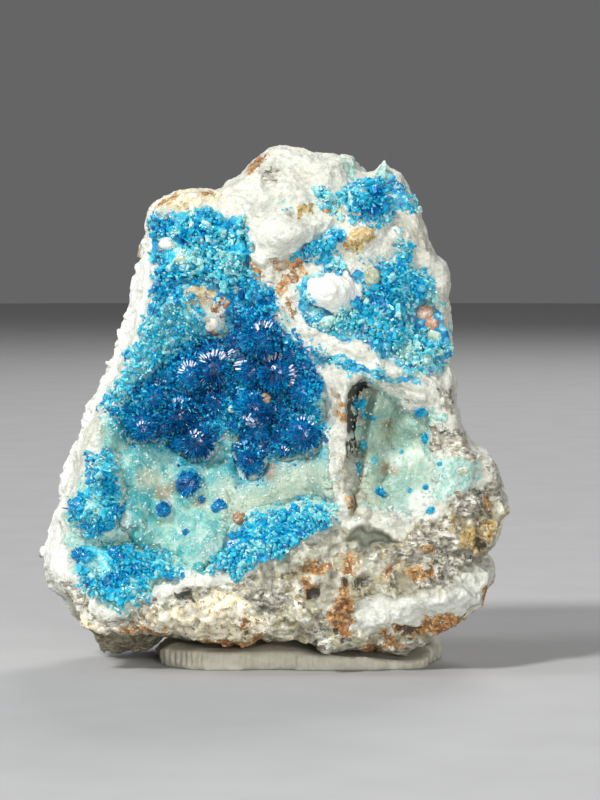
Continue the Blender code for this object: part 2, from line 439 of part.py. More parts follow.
def face_triangulation(rng):
    """Points and triangles of the rock's face, with the edges of hollows, lumps and crusts kept."""
    edge = divided(inset(OUTLINE_RIGHT + OUTLINE_LEFT, EDGE_ROUND)[: len(OUTLINE_RIGHT)] + FLANK_EDGE, 1.5)
    kept = [divided(outline, 1.3) for _, outline, *_ in CRUSTS]
    kept += [divided(outline, 1.3) for outline, *_ in LUMPS]
    kept.append(divided(POCKET_RIM, 1.3))
    crusts = [outline for _, outline, *_ in CRUSTS]
    open_rock = scattered(edge, ROCK_SPACING, rng, [edge] + kept)
    for outline in crusts:
        open_rock = open_rock[depth_inside(open_rock, outline) < 0.0]
    hidden = [scattered(outline, HIDDEN_SPACING, rng, kept) for outline in crusts]
    points, faces = triangulated([edge] + kept, np.vstack([open_rock] + hidden))
    return edge, points, faces_within(points, faces, edge)


def add_matrix(edge, points, faces, face_y, rng):
    """The rock: its face, its sides out to the specimen's outline, and its broken back."""
    bm = bmesh.new()
    front = [bm.verts.new((x, y, z)) for (x, z), y in zip(points, face_y)]
    for a, b, c in faces:
        bm.faces.new((front[a], front[b], front[c]))
    front_loop = [front[i] for i in found_at(points, edge)]

    outline = OUTLINE_RIGHT + OUTLINE_LEFT
    side_y = spread(SIDE_SPOTS, np.array(outline))
    side_loop = [bm.verts.new((x, y, z)) for (x, z), y in zip(outline, side_y)]

    back_edge = divided(inset(smoothed(outline, 3), BACK_INSET), 2.2)
    inner = scattered(back_edge, BACK_SPACING, rng, [back_edge])
    back_points, back_faces = triangulated([back_edge], inner)
    back_faces = faces_within(back_points, back_faces, back_edge)
    planes = np.array([level + u * back_points[:, 0] + v * back_points[:, 1] for level, u, v in BACK_PLANES])
    chips = roughness(back_points, 6.0, 3.1) + 0.6 * roughness(back_points, 2.3, 5.2)
    back = [bm.verts.new((x, y, z)) for (x, z), y in zip(back_points, planes.min(axis=0) + 0.9 * chips)]
    for a, b, c in back_faces:
        bm.faces.new((back[c], back[b], back[a]))
    back_loop = [back[i] for i in found_at(back_points, back_edge)]
    face_places = {tuple(vert.co) for vert in front}
    kept_places = face_places | {tuple(vert.co) for vert in side_loop}

    band(bm, front_loop, side_loop)
    band(bm, side_loop, back_loop)
    for _ in range(2):
        long_edges = [
            e for e in bm.edges
            if e.calc_length() > LONGEST_SIDE_EDGE and not all(tuple(v.co) in face_places for v in e.verts)
        ]
        bmesh.ops.subdivide_edges(bm, edges=long_edges, cuts=1)
        bmesh.ops.triangulate(bm, faces=bm.faces[:])
    bmesh.ops.recalc_face_normals(bm, faces=bm.faces[:])
    bm.normal_update()
    for vert in bm.verts:
        if tuple(vert.co) in kept_places:
            continue
        bump = noise.noise(vert.co / 3.1) + 0.6 * noise.noise(vert.co / 1.4)
        vert.co += vert.normal * SIDE_ROUGHNESS * (bump - 0.25)
    return add_object("matrix", bm, (0.72, 0.7, 0.62), 0.75)


def rosette_points(balls, rng):
    """Points for each ball: its top, and two rings whose points stand in and out in turn."""
    points, heights = [], []
    for x, z, radius in balls:
        turn = rng.uniform(0.0, 1.0)
        points.append((x, z))
        heights.append(radius)
        for share, count in ((0.5, 6), (0.93, 10)):
            for k in range(count):
                angle = math.tau * (k + turn) / count
                reach = radius * share * (1.0 + 0.1 * (-1) ** k)
                points.append((x + reach * math.cos(angle), z + reach * math.sin(angle)))
                heights.append(math.sqrt(max(0.0, radius**2 - reach**2)) + 0.16 * (-1) ** k)
    return np.array(points).reshape(-1, 2), np.array(heights)


def ground_y(ground, point):
    """Y of the ground at X and Z, or None off its edge."""
    hit = ground.ray_cast(Vector((point[0], -50.0, point[1])), Vector((0.0, 1.0, 0.0)))[0]
    return None if hit is None else hit.y


def lift_clear(ground, points, faces, heights):
    """Lifts corners until every triangle stands clear of the ground along its edges and at its middle."""
    shares = [(0.5, 0.5, 0.0), (0.0, 0.5, 0.5), (0.5, 0.0, 0.5), (1 / 3, 1 / 3, 1 / 3)]
    for _ in range(4):
        for face in faces:
            for share in shares:
                y = ground_y(ground, np.dot(share, points[face]))
                over = 0.0 if y is None else np.dot(share, [heights[i] for i in face]) - (y - CRUST_LEAST)
                for i in face:
                    heights[i] -= max(0.0, over)


def add_crust(name, outline, thickness, points_height, balls, colour, points, faces, face_y, rng):
    """A crust of crystals that follows the rock under it at the gap."""
    edge = divided(outline, 1.3)
    under_faces = faces_within(points, faces, edge)
    ground = BVHTree.FromPolygons(
        [(x, y - GAP, z) for (x, z), y in zip(points, face_y)], [tuple(map(int, f)) for f in under_faces]
    )
    ball_points, ball_heights = rosette_points(balls, rng)
    good = depth_inside(ball_points, outline) > 0.3 if len(ball_points) else np.zeros(0, bool)
    for i in range(len(ball_points)):
        near = np.linalg.norm(ball_points[:i] - ball_points[i], axis=1) < 0.35
        good[i] &= not (near & good[:i]).any()
    ball_points, ball_heights = ball_points[good], ball_heights[good]
    loose = scattered(outline, CRUST_SPACING, rng, [edge])
    for x, z, radius in balls:
        loose = loose[np.hypot(loose[:, 0] - x, loose[:, 1] - z) > radius * 1.15]
    top_points, top_faces = triangulated([edge], np.vstack([loose, ball_points]))
    top_faces = faces_within(top_points, top_faces, edge)

    under_edge = found_at(points, edge)
    top_edge = found_at(top_points, edge)
    rims = dict(zip(top_edge, under_edge))
    risen = dict(zip(found_at(top_points, ball_points), ball_heights))
    bm = bmesh.new()
    under = {}
    for i in sorted(set(under_faces.ravel())):
        under[i] = bm.verts.new((points[i][0], face_y[i] - GAP, points[i][1]))
    top_y = []
    for i, point in enumerate(top_points):
        if i in rims:
            top_y.append(face_y[rims[i]] - GAP - CRUST_EDGE)
        else:
            rise = thickness + points_height * rng.random() + BALL_HEIGHT * risen.get(i, 0.0)
            top_y.append(ground_y(ground, point) - rise)
    lift_clear(ground, top_points, top_faces, top_y)
    top = [bm.verts.new((x, y, z)) for (x, z), y in zip(top_points, top_y)]
    for a, b, c in top_faces:
        bm.faces.new((top[a], top[b], top[c]))
    for a, b, c in under_faces:
        bm.faces.new((under[c], under[b], under[a]))
    top_loop = [top[i] for i in top_edge]
    under_loop = [under[i] for i in under_edge]
    for i in range(len(edge)):
        j = (i + 1) % len(edge)
        bm.faces.new((top_loop[i], top_loop[j], under_loop[j], under_loop[i]))
    return add_object(name, bm, colour, 0.35)


def add_putty(matrix, rng):
    """The pad: flat below, and pressed to the shape of the rock's underside above."""
    rock = BVHTree.FromObject(matrix, bpy.context.evaluated_depsgraph_get())
    outline = []
    for k in range(44):
        angle = -math.tau * k / 44
        wave = 1.0 + 0.03 * math.sin(5 * angle) + 0.02 * math.sin(9 * angle + 1.0)
        c, s = math.cos(angle), math.sin(angle)
        outline.append((
            PUTTY_CENTRE[0] + PUTTY_HALF[0] * wave * math.copysign(abs(c) ** 0.6, c),
            PUTTY_CENTRE[1] + PUTTY_HALF[1] * wave * math.copysign(abs(s) ** 0.6, s),
        ))
    inner = scattered(outline, 1.5, rng, [outline])
    points, faces = triangulated([outline], inner)
    faces = faces_within(points, faces, outline)
    rim = found_at(points, outline)
    bm = bmesh.new()
    top, bottom = [], []
    for i, (x, y) in enumerate(points):
        height = PUTTY_HEIGHT * (0.72 if i in rim else 1.0)
        for dx in (-1.2, -0.6, 0.0, 0.6, 1.2):
            for dy in (-1.2, -0.6, 0.0, 0.6, 1.2):
                start = Vector(((x + dx) * MM, (y + dy) * MM, -5.0 * MM))
                hit = rock.ray_cast(start, Vector((0.0, 0.0, 1.0)))[0]
                if hit is not None:
                    height = min(height, hit.z / MM - GAP)
        top.append(bm.verts.new((x, y, max(height, 0.25))))
        bottom.append(bm.verts.new((x, y, 0.0)))
    for a, b, c in faces:
        bm.faces.new((top[a], top[b], top[c]))
        bm.faces.new((bottom[c], bottom[b], bottom[a]))
    for a, b in zip(rim, rim[1:] + rim[:1]):
        bm.faces.new((top[a], top[b], bottom[b], bottom[a]))
    return add_object("putty_pad", bm, (0.8, 0.76, 0.58), 0.6)


def centre_on_origin(objects):
    """Moves every mesh so that the middle of the whole stands over the origin."""
    places = np.array([v.co[:] for made in objects for v in made.data.vertices])
    middle = (places.min(axis=0) + places.max(axis=0)) / 2
    for made in objects:
        made.data.transform(Matrix.Translation((-middle[0], -middle[1], 0.0)))


def main():
    for old in list(bpy.data.objects):
        bpy.data.objects.remove(old, do_unlink=True)
    rng = random.Random(SEED)
    edge, points, faces = face_triangulation(rng)
    face_y = face_relief(points)
    made = [add_matrix(edge, points, faces, face_y, rng)]
    for crust in CRUSTS:
        made.append(add_crust(*crust, points, faces, face_y, rng))
    made.append(add_putty(made[0], rng))
    centre_on_origin(made)


main()
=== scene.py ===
"""Looks of the veszelyite specimen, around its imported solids.

The rock, the aqua druse, the blue crystals and the putty are finished here as fine meshes. Places on the
face are X and Z in millimetres, seen from the front, and every mesh is turned to metres when it is made.
"""

import itertools
import math

import bmesh
import bpy
import numpy as np
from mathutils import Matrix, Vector
from mathutils.bvhtree import BVHTree


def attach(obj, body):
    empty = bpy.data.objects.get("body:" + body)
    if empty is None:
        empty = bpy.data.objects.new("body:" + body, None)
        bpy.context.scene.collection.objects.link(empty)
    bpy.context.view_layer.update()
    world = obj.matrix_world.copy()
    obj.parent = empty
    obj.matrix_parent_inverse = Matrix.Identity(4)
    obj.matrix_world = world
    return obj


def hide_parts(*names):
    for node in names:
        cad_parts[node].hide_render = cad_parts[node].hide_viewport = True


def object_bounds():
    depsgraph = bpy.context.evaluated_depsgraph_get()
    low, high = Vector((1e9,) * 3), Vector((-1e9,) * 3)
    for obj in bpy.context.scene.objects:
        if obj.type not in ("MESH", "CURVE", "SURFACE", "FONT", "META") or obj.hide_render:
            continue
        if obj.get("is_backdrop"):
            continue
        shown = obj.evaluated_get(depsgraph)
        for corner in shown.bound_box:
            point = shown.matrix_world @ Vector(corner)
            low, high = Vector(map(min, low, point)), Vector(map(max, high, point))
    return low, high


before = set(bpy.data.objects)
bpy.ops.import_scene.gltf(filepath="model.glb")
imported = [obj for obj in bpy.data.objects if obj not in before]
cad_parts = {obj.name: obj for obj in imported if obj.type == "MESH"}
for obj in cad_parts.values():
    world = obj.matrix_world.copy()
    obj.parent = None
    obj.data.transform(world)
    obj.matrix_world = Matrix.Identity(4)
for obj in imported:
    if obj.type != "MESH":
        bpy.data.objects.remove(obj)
cad_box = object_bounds()

MM = 0.001
# Cells in which a solid is remeshed, and how many times it is smoothed then
ROCK_MESH = (0.28, 4)
CRUST_MESH = (0.2, 3)
PUTTY_MESH = (0.35, 2)
# Corners of a solid this near to each other are welded before
WELD = 0.001

# Spread of the zones' edges, how far noise moves them, and the size of its swings
ZONE_EDGE = 0.8
SHARP_EDGE = 0.25
ZONE_WANDER = 0.45
WANDER_SIZE = 0.9
# Distances from an outline are worked out this near to it, and what is farther off counts as well outside
OUTLINE_REACH = 2.0
WELL_OUTSIDE = -50.0

# Zones of the rock's face: X, Z of each outline
GREY_ZONES = [
    [(-16.2, 7.2), (-15.4, 6.5), (-14.4, 5.5), (-13.0, 4.5), (-11.6, 4.5), (-10.0, 5.3), (-8.4, 5.9),
     (-7.0, 6.6), (-5.0, 7.0), (-3.2, 6.9), (-4.4, 6.4), (-6.0, 6.2), (-6.0, 5.4), (-8.3, 5.3),
     (-10.0, 4.5), (-11.3, 3.7), (-13.5, 4.0), (-14.9, 4.6), (-15.9, 5.4)],
    [(-2.9, 6.6), (-1.0, 7.2), (0.9, 7.6), (1.4, 6.4), (1.2, 5.2), (0.2, 4.5), (-1.0, 4.4), (-2.0, 5.6)],
    [(2.8, 5.0), (4.2, 5.0), (4.4, 3.6), (4.2, 2.6), (5.9, 1.8), (6.4, 1.3), (3.0, 1.6), (2.8, 3.4)],
    [(6.4, 6.7), (7.5, 7.1), (9.8, 7.2), (10.4, 6.8), (13.2, 6.8), (14.3, 7.4), (15.4, 8.0), (15.9, 8.7),
     (14.2, 9.0), (13.8, 10.2), (14.2, 11.2), (12.9, 12.4), (12.4, 11.6), (11.6, 11.8), (10.5, 10.9),
     (10.0, 10.2), (8.9, 9.5), (8.2, 8.8), (9.2, 8.4), (10.0, 8.5), (10.2, 7.6), (8.2, 7.3), (7.0, 6.9),
     (6.6, 5.9), (7.4, 5.4)],
    [(12.9, 12.6), (13.3, 13.5), (14.8, 14.0), (15.8, 13.9), (17.0, 14.8), (17.6, 14.0), (17.2, 12.9),
     (16.6, 12.0), (15.2, 11.8), (14.0, 12.0)],
    [(9.2, 1.0), (10.5, 1.2), (12.0, 1.9), (11.0, 2.9), (9.8, 2.6)],
    [(13.2, 5.6), (14.6, 6.0), (14.2, 6.9), (13.2, 6.4)],
    [(-0.9, 38.2), (0.0, 38.3), (0.2, 37.6), (-0.6, 37.3)],
    [(11.9, 18.7), (13.3, 18.9), (14.9, 17.5), (15.9, 16.6), (14.9, 16.2), (13.3, 16.6), (12.3, 17.2)],
    [(12.6, 21.8), (13.8, 21.6), (13.7, 20.2), (12.9, 20.3)],
    [(15.6, 16.2), (16.7, 15.6), (17.9, 14.0), (17.9, 13.2), (16.6, 14.6)],
]
RUST_ZONES = [
    [(-11.7, 3.4), (-9.4, 3.5), (-7.9, 3.2), (-8.1, 2.8), (-11.4, 2.7)],
    [(-5.6, 2.4), (-3.6, 2.6), (-2.4, 2.5), (-1.0, 3.1), (-0.7, 2.4), (-1.8, 1.8), (-3.8, 1.6),
     (-5.5, 1.8)],
    [(-2.5, 4.5), (-1.9, 4.4), (-1.9, 3.4), (-2.4, 3.4)],
    [(2.0, 8.4), (3.2, 8.6), (4.2, 8.9), (4.6, 8.2), (3.4, 7.8), (2.2, 7.9)],
    [(2.3, 7.5), (3.0, 7.4), (3.5, 6.6), (2.6, 6.1), (2.3, 6.8)],
    [(5.1, 9.3), (5.9, 9.5), (6.2, 8.8), (6.9, 8.5), (6.0, 8.1), (6.1, 7.4), (5.3, 7.3), (5.1, 8.2)],
    [(4.9, 7.3), (5.4, 6.9), (5.7, 5.8), (5.8, 4.8), (6.0, 3.9), (6.3, 3.0), (5.2, 2.9), (4.7, 3.9),
     (4.2, 4.3), (4.3, 5.5), (4.9, 6.0)],
    [(8.3, 8.2), (9.2, 8.0), (9.3, 7.5), (8.4, 7.4)],
    [(10.0, 7.9), (11.2, 8.2), (12.3, 8.5), (12.2, 7.5), (10.4, 7.2)],
    [(11.1, 9.8), (11.8, 10.0), (12.7, 9.5), (12.4, 8.9), (11.3, 9.2)],
    [(8.6, 3.8), (9.8, 3.7), (11.3, 3.7), (11.8, 4.5), (13.4, 4.4), (14.8, 4.2), (14.1, 3.2), (12.6, 2.3),
     (11.5, 2.8), (11.0, 3.0), (9.2, 3.1)],
    [(7.9, 3.0), (8.6, 3.2), (9.0, 2.7), (9.7, 2.0), (9.0, 1.6), (8.2, 2.3)],
    [(6.7, 1.5), (7.2, 2.2), (8.3, 2.2), (8.6, 1.4), (7.6, 1.0)],
    [(15.9, 5.6), (16.3, 6.4), (17.1, 7.0), (17.2, 6.2), (16.6, 5.8), (16.2, 4.7)],
    [(16.0, 13.3), (16.9, 13.1), (16.8, 12.5), (16.1, 12.5)],
    [(-16.9, 7.9), (-16.1, 7.7), (-16.4, 7.1), (-17.0, 7.3)],
    [(-2.0, 31.3), (-1.4, 31.1), (-0.9, 30.2), (-1.3, 29.9), (-2.0, 30.8)],
    [(-0.1, 29.6), (0.5, 30.1), (1.2, 29.8), (1.1, 28.9), (0.4, 28.6)],
    [(1.2, 31.3), (2.3, 31.0), (2.9, 30.4), (1.9, 30.2), (0.9, 29.9)],
    [(-0.4, 31.2), (0.7, 31.2), (1.0, 30.6), (0.0, 30.3)],
    [(0.9, 28.2), (1.8, 28.1), (1.7, 27.4), (1.0, 27.4)],
    [(-4.0, 28.4), (-3.4, 28.3), (-3.9, 27.3), (-4.4, 27.4)],
    [(-4.8, 26.2), (-3.9, 26.1), (-3.9, 25.6), (-4.7, 25.6)],
    [(-5.9, 36.7), (-4.9, 36.95), (-4.4, 36.3), (-5.7, 35.9)],
    [(-9.3, 35.9), (-7.4, 36.6), (-7.5, 36.0), (-8.8, 35.5)],
    [(-2.6, 38.1), (-1.7, 39.2), (-0.4, 40.2), (-0.4, 39.3), (-1.6, 38.1)],
    [(4.1, 35.3), (5.1, 35.3), (5.0, 34.7), (4.1, 34.8)],
    [(4.9, 20.9), (5.5, 20.9), (5.5, 20.3), (4.9, 20.3)],
    [(5.1, 19.9), (5.6, 19.9), (5.6, 19.2), (5.1, 19.2)],
    [(5.4, 13.7), (6.0, 13.6), (6.0, 12.7), (5.5, 12.6)],
]
OCHRE_ZONES = [
    [(14.2, 11.2), (15.2, 11.3), (16.8, 11.6), (16.8, 10.6), (16.2, 9.8), (16.0, 8.8), (15.2, 8.9),
     (14.6, 9.3), (13.9, 10.0)],
    [(13.2, 11.8), (14.0, 12.0), (14.0, 11.1), (13.4, 11.0)],
    [(9.5, 8.4), (10.2, 8.3), (10.3, 7.4), (9.6, 7.5)],
    [(5.2, 32.7), (6.4, 33.8), (7.8, 34.0), (7.7, 33.1), (6.4, 32.3), (5.4, 32.2)],
    [(6.6, 30.6), (7.4, 31.0), (8.1, 30.4), (7.7, 29.0), (6.8, 29.1)],
    [(-6.9, 28.4), (-5.8, 29.4), (-4.3, 29.5), (-4.2, 28.4), (-5.2, 27.9), (-6.6, 27.9)],
    [(1.8, 35.4), (3.2, 35.5), (3.0, 34.7), (1.9, 34.8)],
    [(-9.0, 35.4), (-6.8, 35.6), (-6.9, 35.1), (-8.8, 34.9)],
]
CREAM_ZONES = [
    [(-11.4, 3.8), (-9.5, 4.5), (-8.0, 5.3), (-6.0, 5.3), (-5.9, 6.1), (-3.4, 6.6), (-2.0, 5.5),
     (-1.2, 4.4), (-0.7, 3.2), (-5.5, 2.1), (-8.0, 2.9)],
    [(-15.0, 4.6), (-13.2, 4.0), (-11.6, 3.8), (-12.0, 3.1), (-14.8, 3.1)],
    [(-9.0, 36.4), (-6.0, 37.2), (-4.2, 37.2), (-3.6, 36.2), (-4.6, 35.2), (-6.5, 35.3), (-9.4, 35.3)],
    [(12.4, 6.6), (13.4, 6.4), (13.2, 5.4), (12.3, 5.4)],
]
BEIGE_ZONES = [
    [(5.0, 17.0), (5.6, 17.0), (5.8, 14.0), (6.2, 11.6), (5.4, 12.0), (5.0, 15.0)],
    [(4.5, 21.4), (5.1, 21.4), (5.3, 19.4), (4.8, 19.2)],
    [(-0.8, 8.6), (1.0, 10.1), (3.0, 10.9), (4.6, 11.4), (5.6, 10.8), (6.3, 9.5), (5.1, 9.2), (4.6, 9.0),
     (2.0, 8.6), (0.6, 7.8), (-1.5, 7.5)],
    [(3.3, 7.5), (5.0, 7.2), (5.0, 6.0), (4.2, 4.6), (3.2, 5.6), (3.3, 6.6)],
    [(7.2, 8.7), (8.5, 8.6), (8.0, 7.4), (6.8, 7.4), (6.4, 8.0)],
    [(10.6, 27.3), (11.4, 28.1), (12.2, 28.0), (12.8, 26.6), (12.5, 25.6), (11.7, 25.7), (10.8, 26.7)],
    [(5.6, 10.2), (6.9, 11.2), (8.4, 10.8), (9.4, 10.2), (8.9, 9.7), (6.9, 9.3)],
    [(5.9, 17.4), (6.9, 17.6), (7.0, 14.0), (6.9, 11.8), (6.2, 11.9), (5.9, 14.0)],
]
# Painted shade: near black in the crevice beside the arch's wall and in small pits, which are also let in
GAP_SHADE_ZONES = [
    [(5.7, 21.4), (6.3, 21.9), (7.3, 21.7), (6.7, 20.8), (6.4, 19.6), (6.15, 18.2), (6.0, 16.6),
     (5.85, 16.4), (5.8, 18.2)],
    [(15.5, 10.1), (16.1, 10.2), (16.3, 9.4), (15.9, 8.9), (15.6, 9.4)],
    [(4.4, 3.9), (4.9, 3.9), (5.0, 3.3), (4.5, 3.3)],
    [(5.0, 7.1), (5.6, 7.1), (5.5, 6.6), (5.1, 6.6)],
    [(2.7, 6.7), (3.4, 6.6), (3.3, 6.1), (2.7, 6.2)],
    [(9.2, 3.5), (11.2, 3.5), (11.0, 3.1), (9.2, 3.1)],
    [(15.0, 8.5), (15.8, 8.5), (15.7, 8.0), (15.2, 8.0)],
    [(6.3, 7.3), (7.1, 7.2), (7.0, 6.8), (6.4, 6.9)],
    [(-7.3, 6.3), (-5.9, 6.3), (-5.8, 5.3), (-6.8, 5.5)],
]
AQUA_ZONES = [
    [(5.0, 38.9), (6.3, 39.4), (6.6, 38.0), (5.6, 37.3), (4.9, 38.0)],
    [(7.9, 38.3), (8.3, 39.3), (9.2, 38.6), (8.7, 36.4), (8.1, 36.8)],
    [(12.2, 13.6), (13.5, 13.0), (15.6, 14.6), (15.9, 16.0), (14.6, 16.6), (12.4, 16.2)],
    [(0.4, 35.6), (1.3, 35.5), (1.2, 35.0), (0.4, 35.0)],
    [(-15.9, 8.8), (-14.7, 5.8), (-12.2, 4.7), (-9.4, 5.6), (-6.4, 7.3), (-3.6, 8.4), (-0.4, 9.4),
     (3.2, 11.5), (4.9, 12.6), (4.4, 14.0), (3.9, 18.0), (3.7, 22.0), (1.6, 25.6), (-1.0, 28.0),
     (-6.0, 27.6), (-12.8, 20.5), (-13.6, 16.0), (-15.9, 13.0)],
    [(6.2, 21.4), (8.4, 21.8), (10.2, 20.2), (12.0, 20.2), (12.4, 16.0), (11.0, 12.2), (8.0, 12.6),
     (6.8, 13.0)],
]
# Rock between the blue crusts that is itself grown over with azure and aqua grains
AZURE_ZONES = [
    [(-9.7, 34.6), (-7.9, 34.7), (-5.0, 35.2), (-3.7, 34.5), (-2.2, 34.6), (-2.0, 33.6), (-2.4, 32.7),
     (-1.7, 32.3), (-1.7, 30.3), (-0.1, 29.0), (0.2, 28.1), (-0.8, 27.0), (-3.0, 25.6), (-7.4, 24.8),
     (-9.7, 22.9), (-12.6, 20.6), (-11.9, 22.1), (-10.2, 25.6), (-9.2, 28.7), (-9.0, 31.6)],
    [(5.1, 36.6), (6.2, 37.6), (7.5, 37.8), (8.5, 38.0), (9.2, 37.8), (10.6, 36.2), (11.3, 34.9),
     (10.4, 34.8), (9.2, 35.2), (8.4, 34.2), (6.6, 34.6), (5.3, 35.4)],
    [(3.0, 36.7), (3.7, 37.2), (4.4, 36.4), (5.0, 35.9), (4.8, 34.8), (4.2, 35.2)],
    [(1.4, 31.2), (2.4, 32.4), (4.0, 33.2), (5.3, 33.8), (5.2, 32.8), (4.5, 32.2), (5.0, 30.6), (4.0, 30.4),
     (3.6, 31.7), (2.4, 31.4)],
    [(8.2, 31.3), (9.4, 31.2), (9.4, 32.9), (10.2, 32.9), (10.4, 31.0), (11.9, 30.2), (13.0, 28.0),
     (13.6, 25.6), (13.7, 23.8), (12.6, 22.7), (10.3, 22.6), (8.2, 24.2), (6.6, 25.0), (4.6, 25.2),
     (3.2, 25.6), (2.2, 27.0), (1.7, 29.2), (2.4, 30.2), (6.4, 30.4), (7.4, 30.9)],
    [(2.8, 24.9), (5.0, 24.0), (8.2, 22.9), (11.4, 22.4), (11.2, 21.9), (8.0, 22.3), (5.0, 22.9),
     (3.4, 23.8)],
]
# Chips and lumps of clean white rock, which stand out from what surrounds them
BRIGHT_CHIP = [
    (2.83, 29.9), (3.6, 30.15), (4.9, 30.2), (5.8, 30.1), (6.5, 29.7), (6.5, 28.9), (5.9, 28.2),
    (5.3, 27.8), (4.4, 27.6), (3.4, 27.8), (2.6, 28.5), (2.1, 29.1),
]
CHIPS = [
    [(-2.0, 34.0), (-1.15, 34.6), (0.0, 34.9), (1.4, 34.7), (2.5, 33.8), (3.6, 34.2), (5.0, 34.3),
     (4.1, 33.2), (2.5, 32.5), (1.4, 31.7), (0.0, 31.2), (-1.2, 31.1), (-1.7, 32.3)],
    [(-5.3, 26.0), (-5.1, 27.0), (-4.0, 28.4), (-3.4, 28.2), (-4.2, 26.7), (-4.3, 26.0)],
]
LIP = [
    (-9.0, 7.4), (-7.5, 7.2), (-6.2, 7.8), (-5.0, 7.8), (-3.3, 8.0), (-3.0, 7.2), (-4.4, 6.9), (-6.2, 6.6),
    (-8.0, 6.0), (-9.6, 5.4), (-11.2, 4.8), (-10.6, 5.6), (-9.3, 6.2),
]
LOWER_LIP = [
    (-16.0, 7.4), (-14.7, 5.6), (-12.9, 4.8), (-11.4, 4.3), (-9.8, 5.0), (-9.4, 5.7), (-11.2, 5.0),
    (-12.6, 5.4), (-14.2, 6.3), (-15.5, 7.8),
]
FLANK = [
    (-15.9, 6.8), (-19.5, 7.8), (-19.5, 14.2), (-18.0, 18.6), (-14.8, 23.4), (-11.8, 29.6), (-11.2, 34.4),
    (-9.3, 34.2), (-9.3, 29.4), (-11.9, 23.4), (-15.2, 16.6), (-16.2, 11.0),
]
WHITE_BLOCK = [
    (6.2, 5.3), (8.0, 5.7), (10.3, 5.7), (12.6, 6.2), (14.6, 7.2), (16.0, 7.4), (16.7, 6.4), (16.0, 5.2),
    (13.8, 4.7), (11.2, 4.2), (9.0, 3.4), (7.2, 3.0), (6.3, 3.9),
]
RIDGE = [
    (0.5, 28.9), (1.5, 28.2), (3.4, 26.0), (5.6, 25.0), (9.2, 23.3), (9.6, 22.8), (6.8, 23.2), (3.4, 24.9),
    (1.6, 26.2), (0.7, 27.3),
]
# Hollows cut back into the rock
HOLLOWS = [
    [(6.0, 21.7), (6.7, 22.0), (7.6, 21.7), (7.3, 20.6), (6.9, 19.0), (6.6, 17.4), (6.6, 15.5), (6.4, 13.5),
     (6.1, 12.4), (5.9, 14.0), (5.75, 16.0), (5.8, 18.8)],
    [(5.8, 10.4), (6.8, 11.1), (8.4, 10.8), (9.35, 10.2), (8.6, 9.65), (7.0, 9.45)],
]
# The pocket, whose own green grey is darkened as painted shade of its depth
POCKET = HOLLOWS[1]
# The broken lower face, where ore, quartz and earthy weathered rock are mixed grain by grain
BROKEN_FACE = [
    [(-0.3, 8.3), (1.0, 9.0), (2.4, 10.0), (4.2, 11.0), (5.4, 11.4), (6.4, 10.6), (9.4, 10.2), (10.6, 11.2),
     (12.4, 12.0), (13.7, 13.2), (15.5, 14.0), (17.8, 13.0), (18.4, 11.0), (17.2, 9.0), (16.0, 8.2),
     (14.2, 7.4), (12.4, 6.8), (10.3, 5.9), (7.2, 5.9), (6.0, 5.6), (5.9, 4.5), (6.3, 3.3), (7.2, 2.7),
     (8.6, 2.8), (10.5, 3.6), (14.2, 4.4), (16.4, 5.0), (16.4, 4.0), (13.3, 2.4), (11.5, 1.2), (9.4, 0.2),
     (3.8, 0.6), (-1.0, 1.6), (-1.2, 4.4), (-3.2, 7.0)],
    [(-15.2, 4.7), (-13.0, 3.9), (-11.6, 4.2), (-9.8, 5.1), (-8.0, 5.3), (-6.1, 5.6), (-5.9, 6.2),
     (-3.2, 6.7), (-1.2, 4.4), (-1.0, 1.6), (-6.0, 1.4), (-9.0, 2.6), (-15.0, 2.6)],
]
UNDER_ZONES = [
    [(-15.2, 2.9), (-13.6, 3.0), (-11.6, 2.7), (-8.8, 2.9), (-6.4, 2.4), (-5.4, 1.8), (-8.0, 1.0),
     (-10.0, -1.0), (-15.0, -1.0)],
]

# Fields of blue crystals on and around their crusts: X, Z of each outline
MAIN_FIELD = [
    (-2.9, 27.6), (-1.4, 27.9), (-0.2, 28.0), (0.9, 26.4), (2.9, 24.4), (3.6, 23.2), (3.5, 21.8),
    (3.9, 21.2), (3.1, 19.5), (4.2, 18.2), (3.3, 17.0), (1.4, 16.6), (-0.5, 16.3), (-1.1, 15.0),
    (-2.3, 14.8), (-2.9, 16.0), (-2.2, 17.0), (-2.6, 18.2), (-4.5, 18.0), (-4.9, 16.4), (-6.4, 15.9),
    (-8.2, 17.4), (-10.9, 17.5), (-11.2, 18.2), (-12.9, 20.3), (-11.0, 21.1), (-9.3, 23.0), (-6.9, 25.3),
    (-3.1, 25.4), (-3.0, 26.5),
]
LEFT_EDGE_FIELD = [
    (-12.8, 20.4), (-11.9, 22.1), (-11.2, 23.9), (-10.1, 25.9), (-9.4, 27.8), (-9.2, 28.9), (-7.0, 28.9),
    (-5.6, 27.9), (-5.2, 26.0), (-6.6, 25.4), (-7.6, 24.6), (-9.4, 22.9), (-11.0, 21.2),
]
UPPER_LEFT_FIELD = [
    (-9.3, 34.5), (-7.9, 34.5), (-7.0, 34.7), (-5.0, 35.1), (-4.3, 34.9), (-3.7, 34.4), (-2.25, 34.5),
    (-2.1, 33.8), (-2.4, 32.7), (-1.7, 32.3), (-1.9, 31.2), (-1.7, 30.3), (-1.15, 29.8), (-0.05, 29.0),
    (0.2, 28.1), (-0.8, 27.4), (-2.25, 27.9), (-3.2, 27.6), (-3.6, 28.4), (-4.2, 29.4), (-5.8, 29.8),
    (-7.0, 28.6), (-8.9, 28.6), (-9.2, 28.9), (-9.0, 31.6), (-7.4, 31.2), (-6.0, 31.9), (-7.0, 32.3),
    (-7.2, 33.4), (-8.8, 33.4),
]
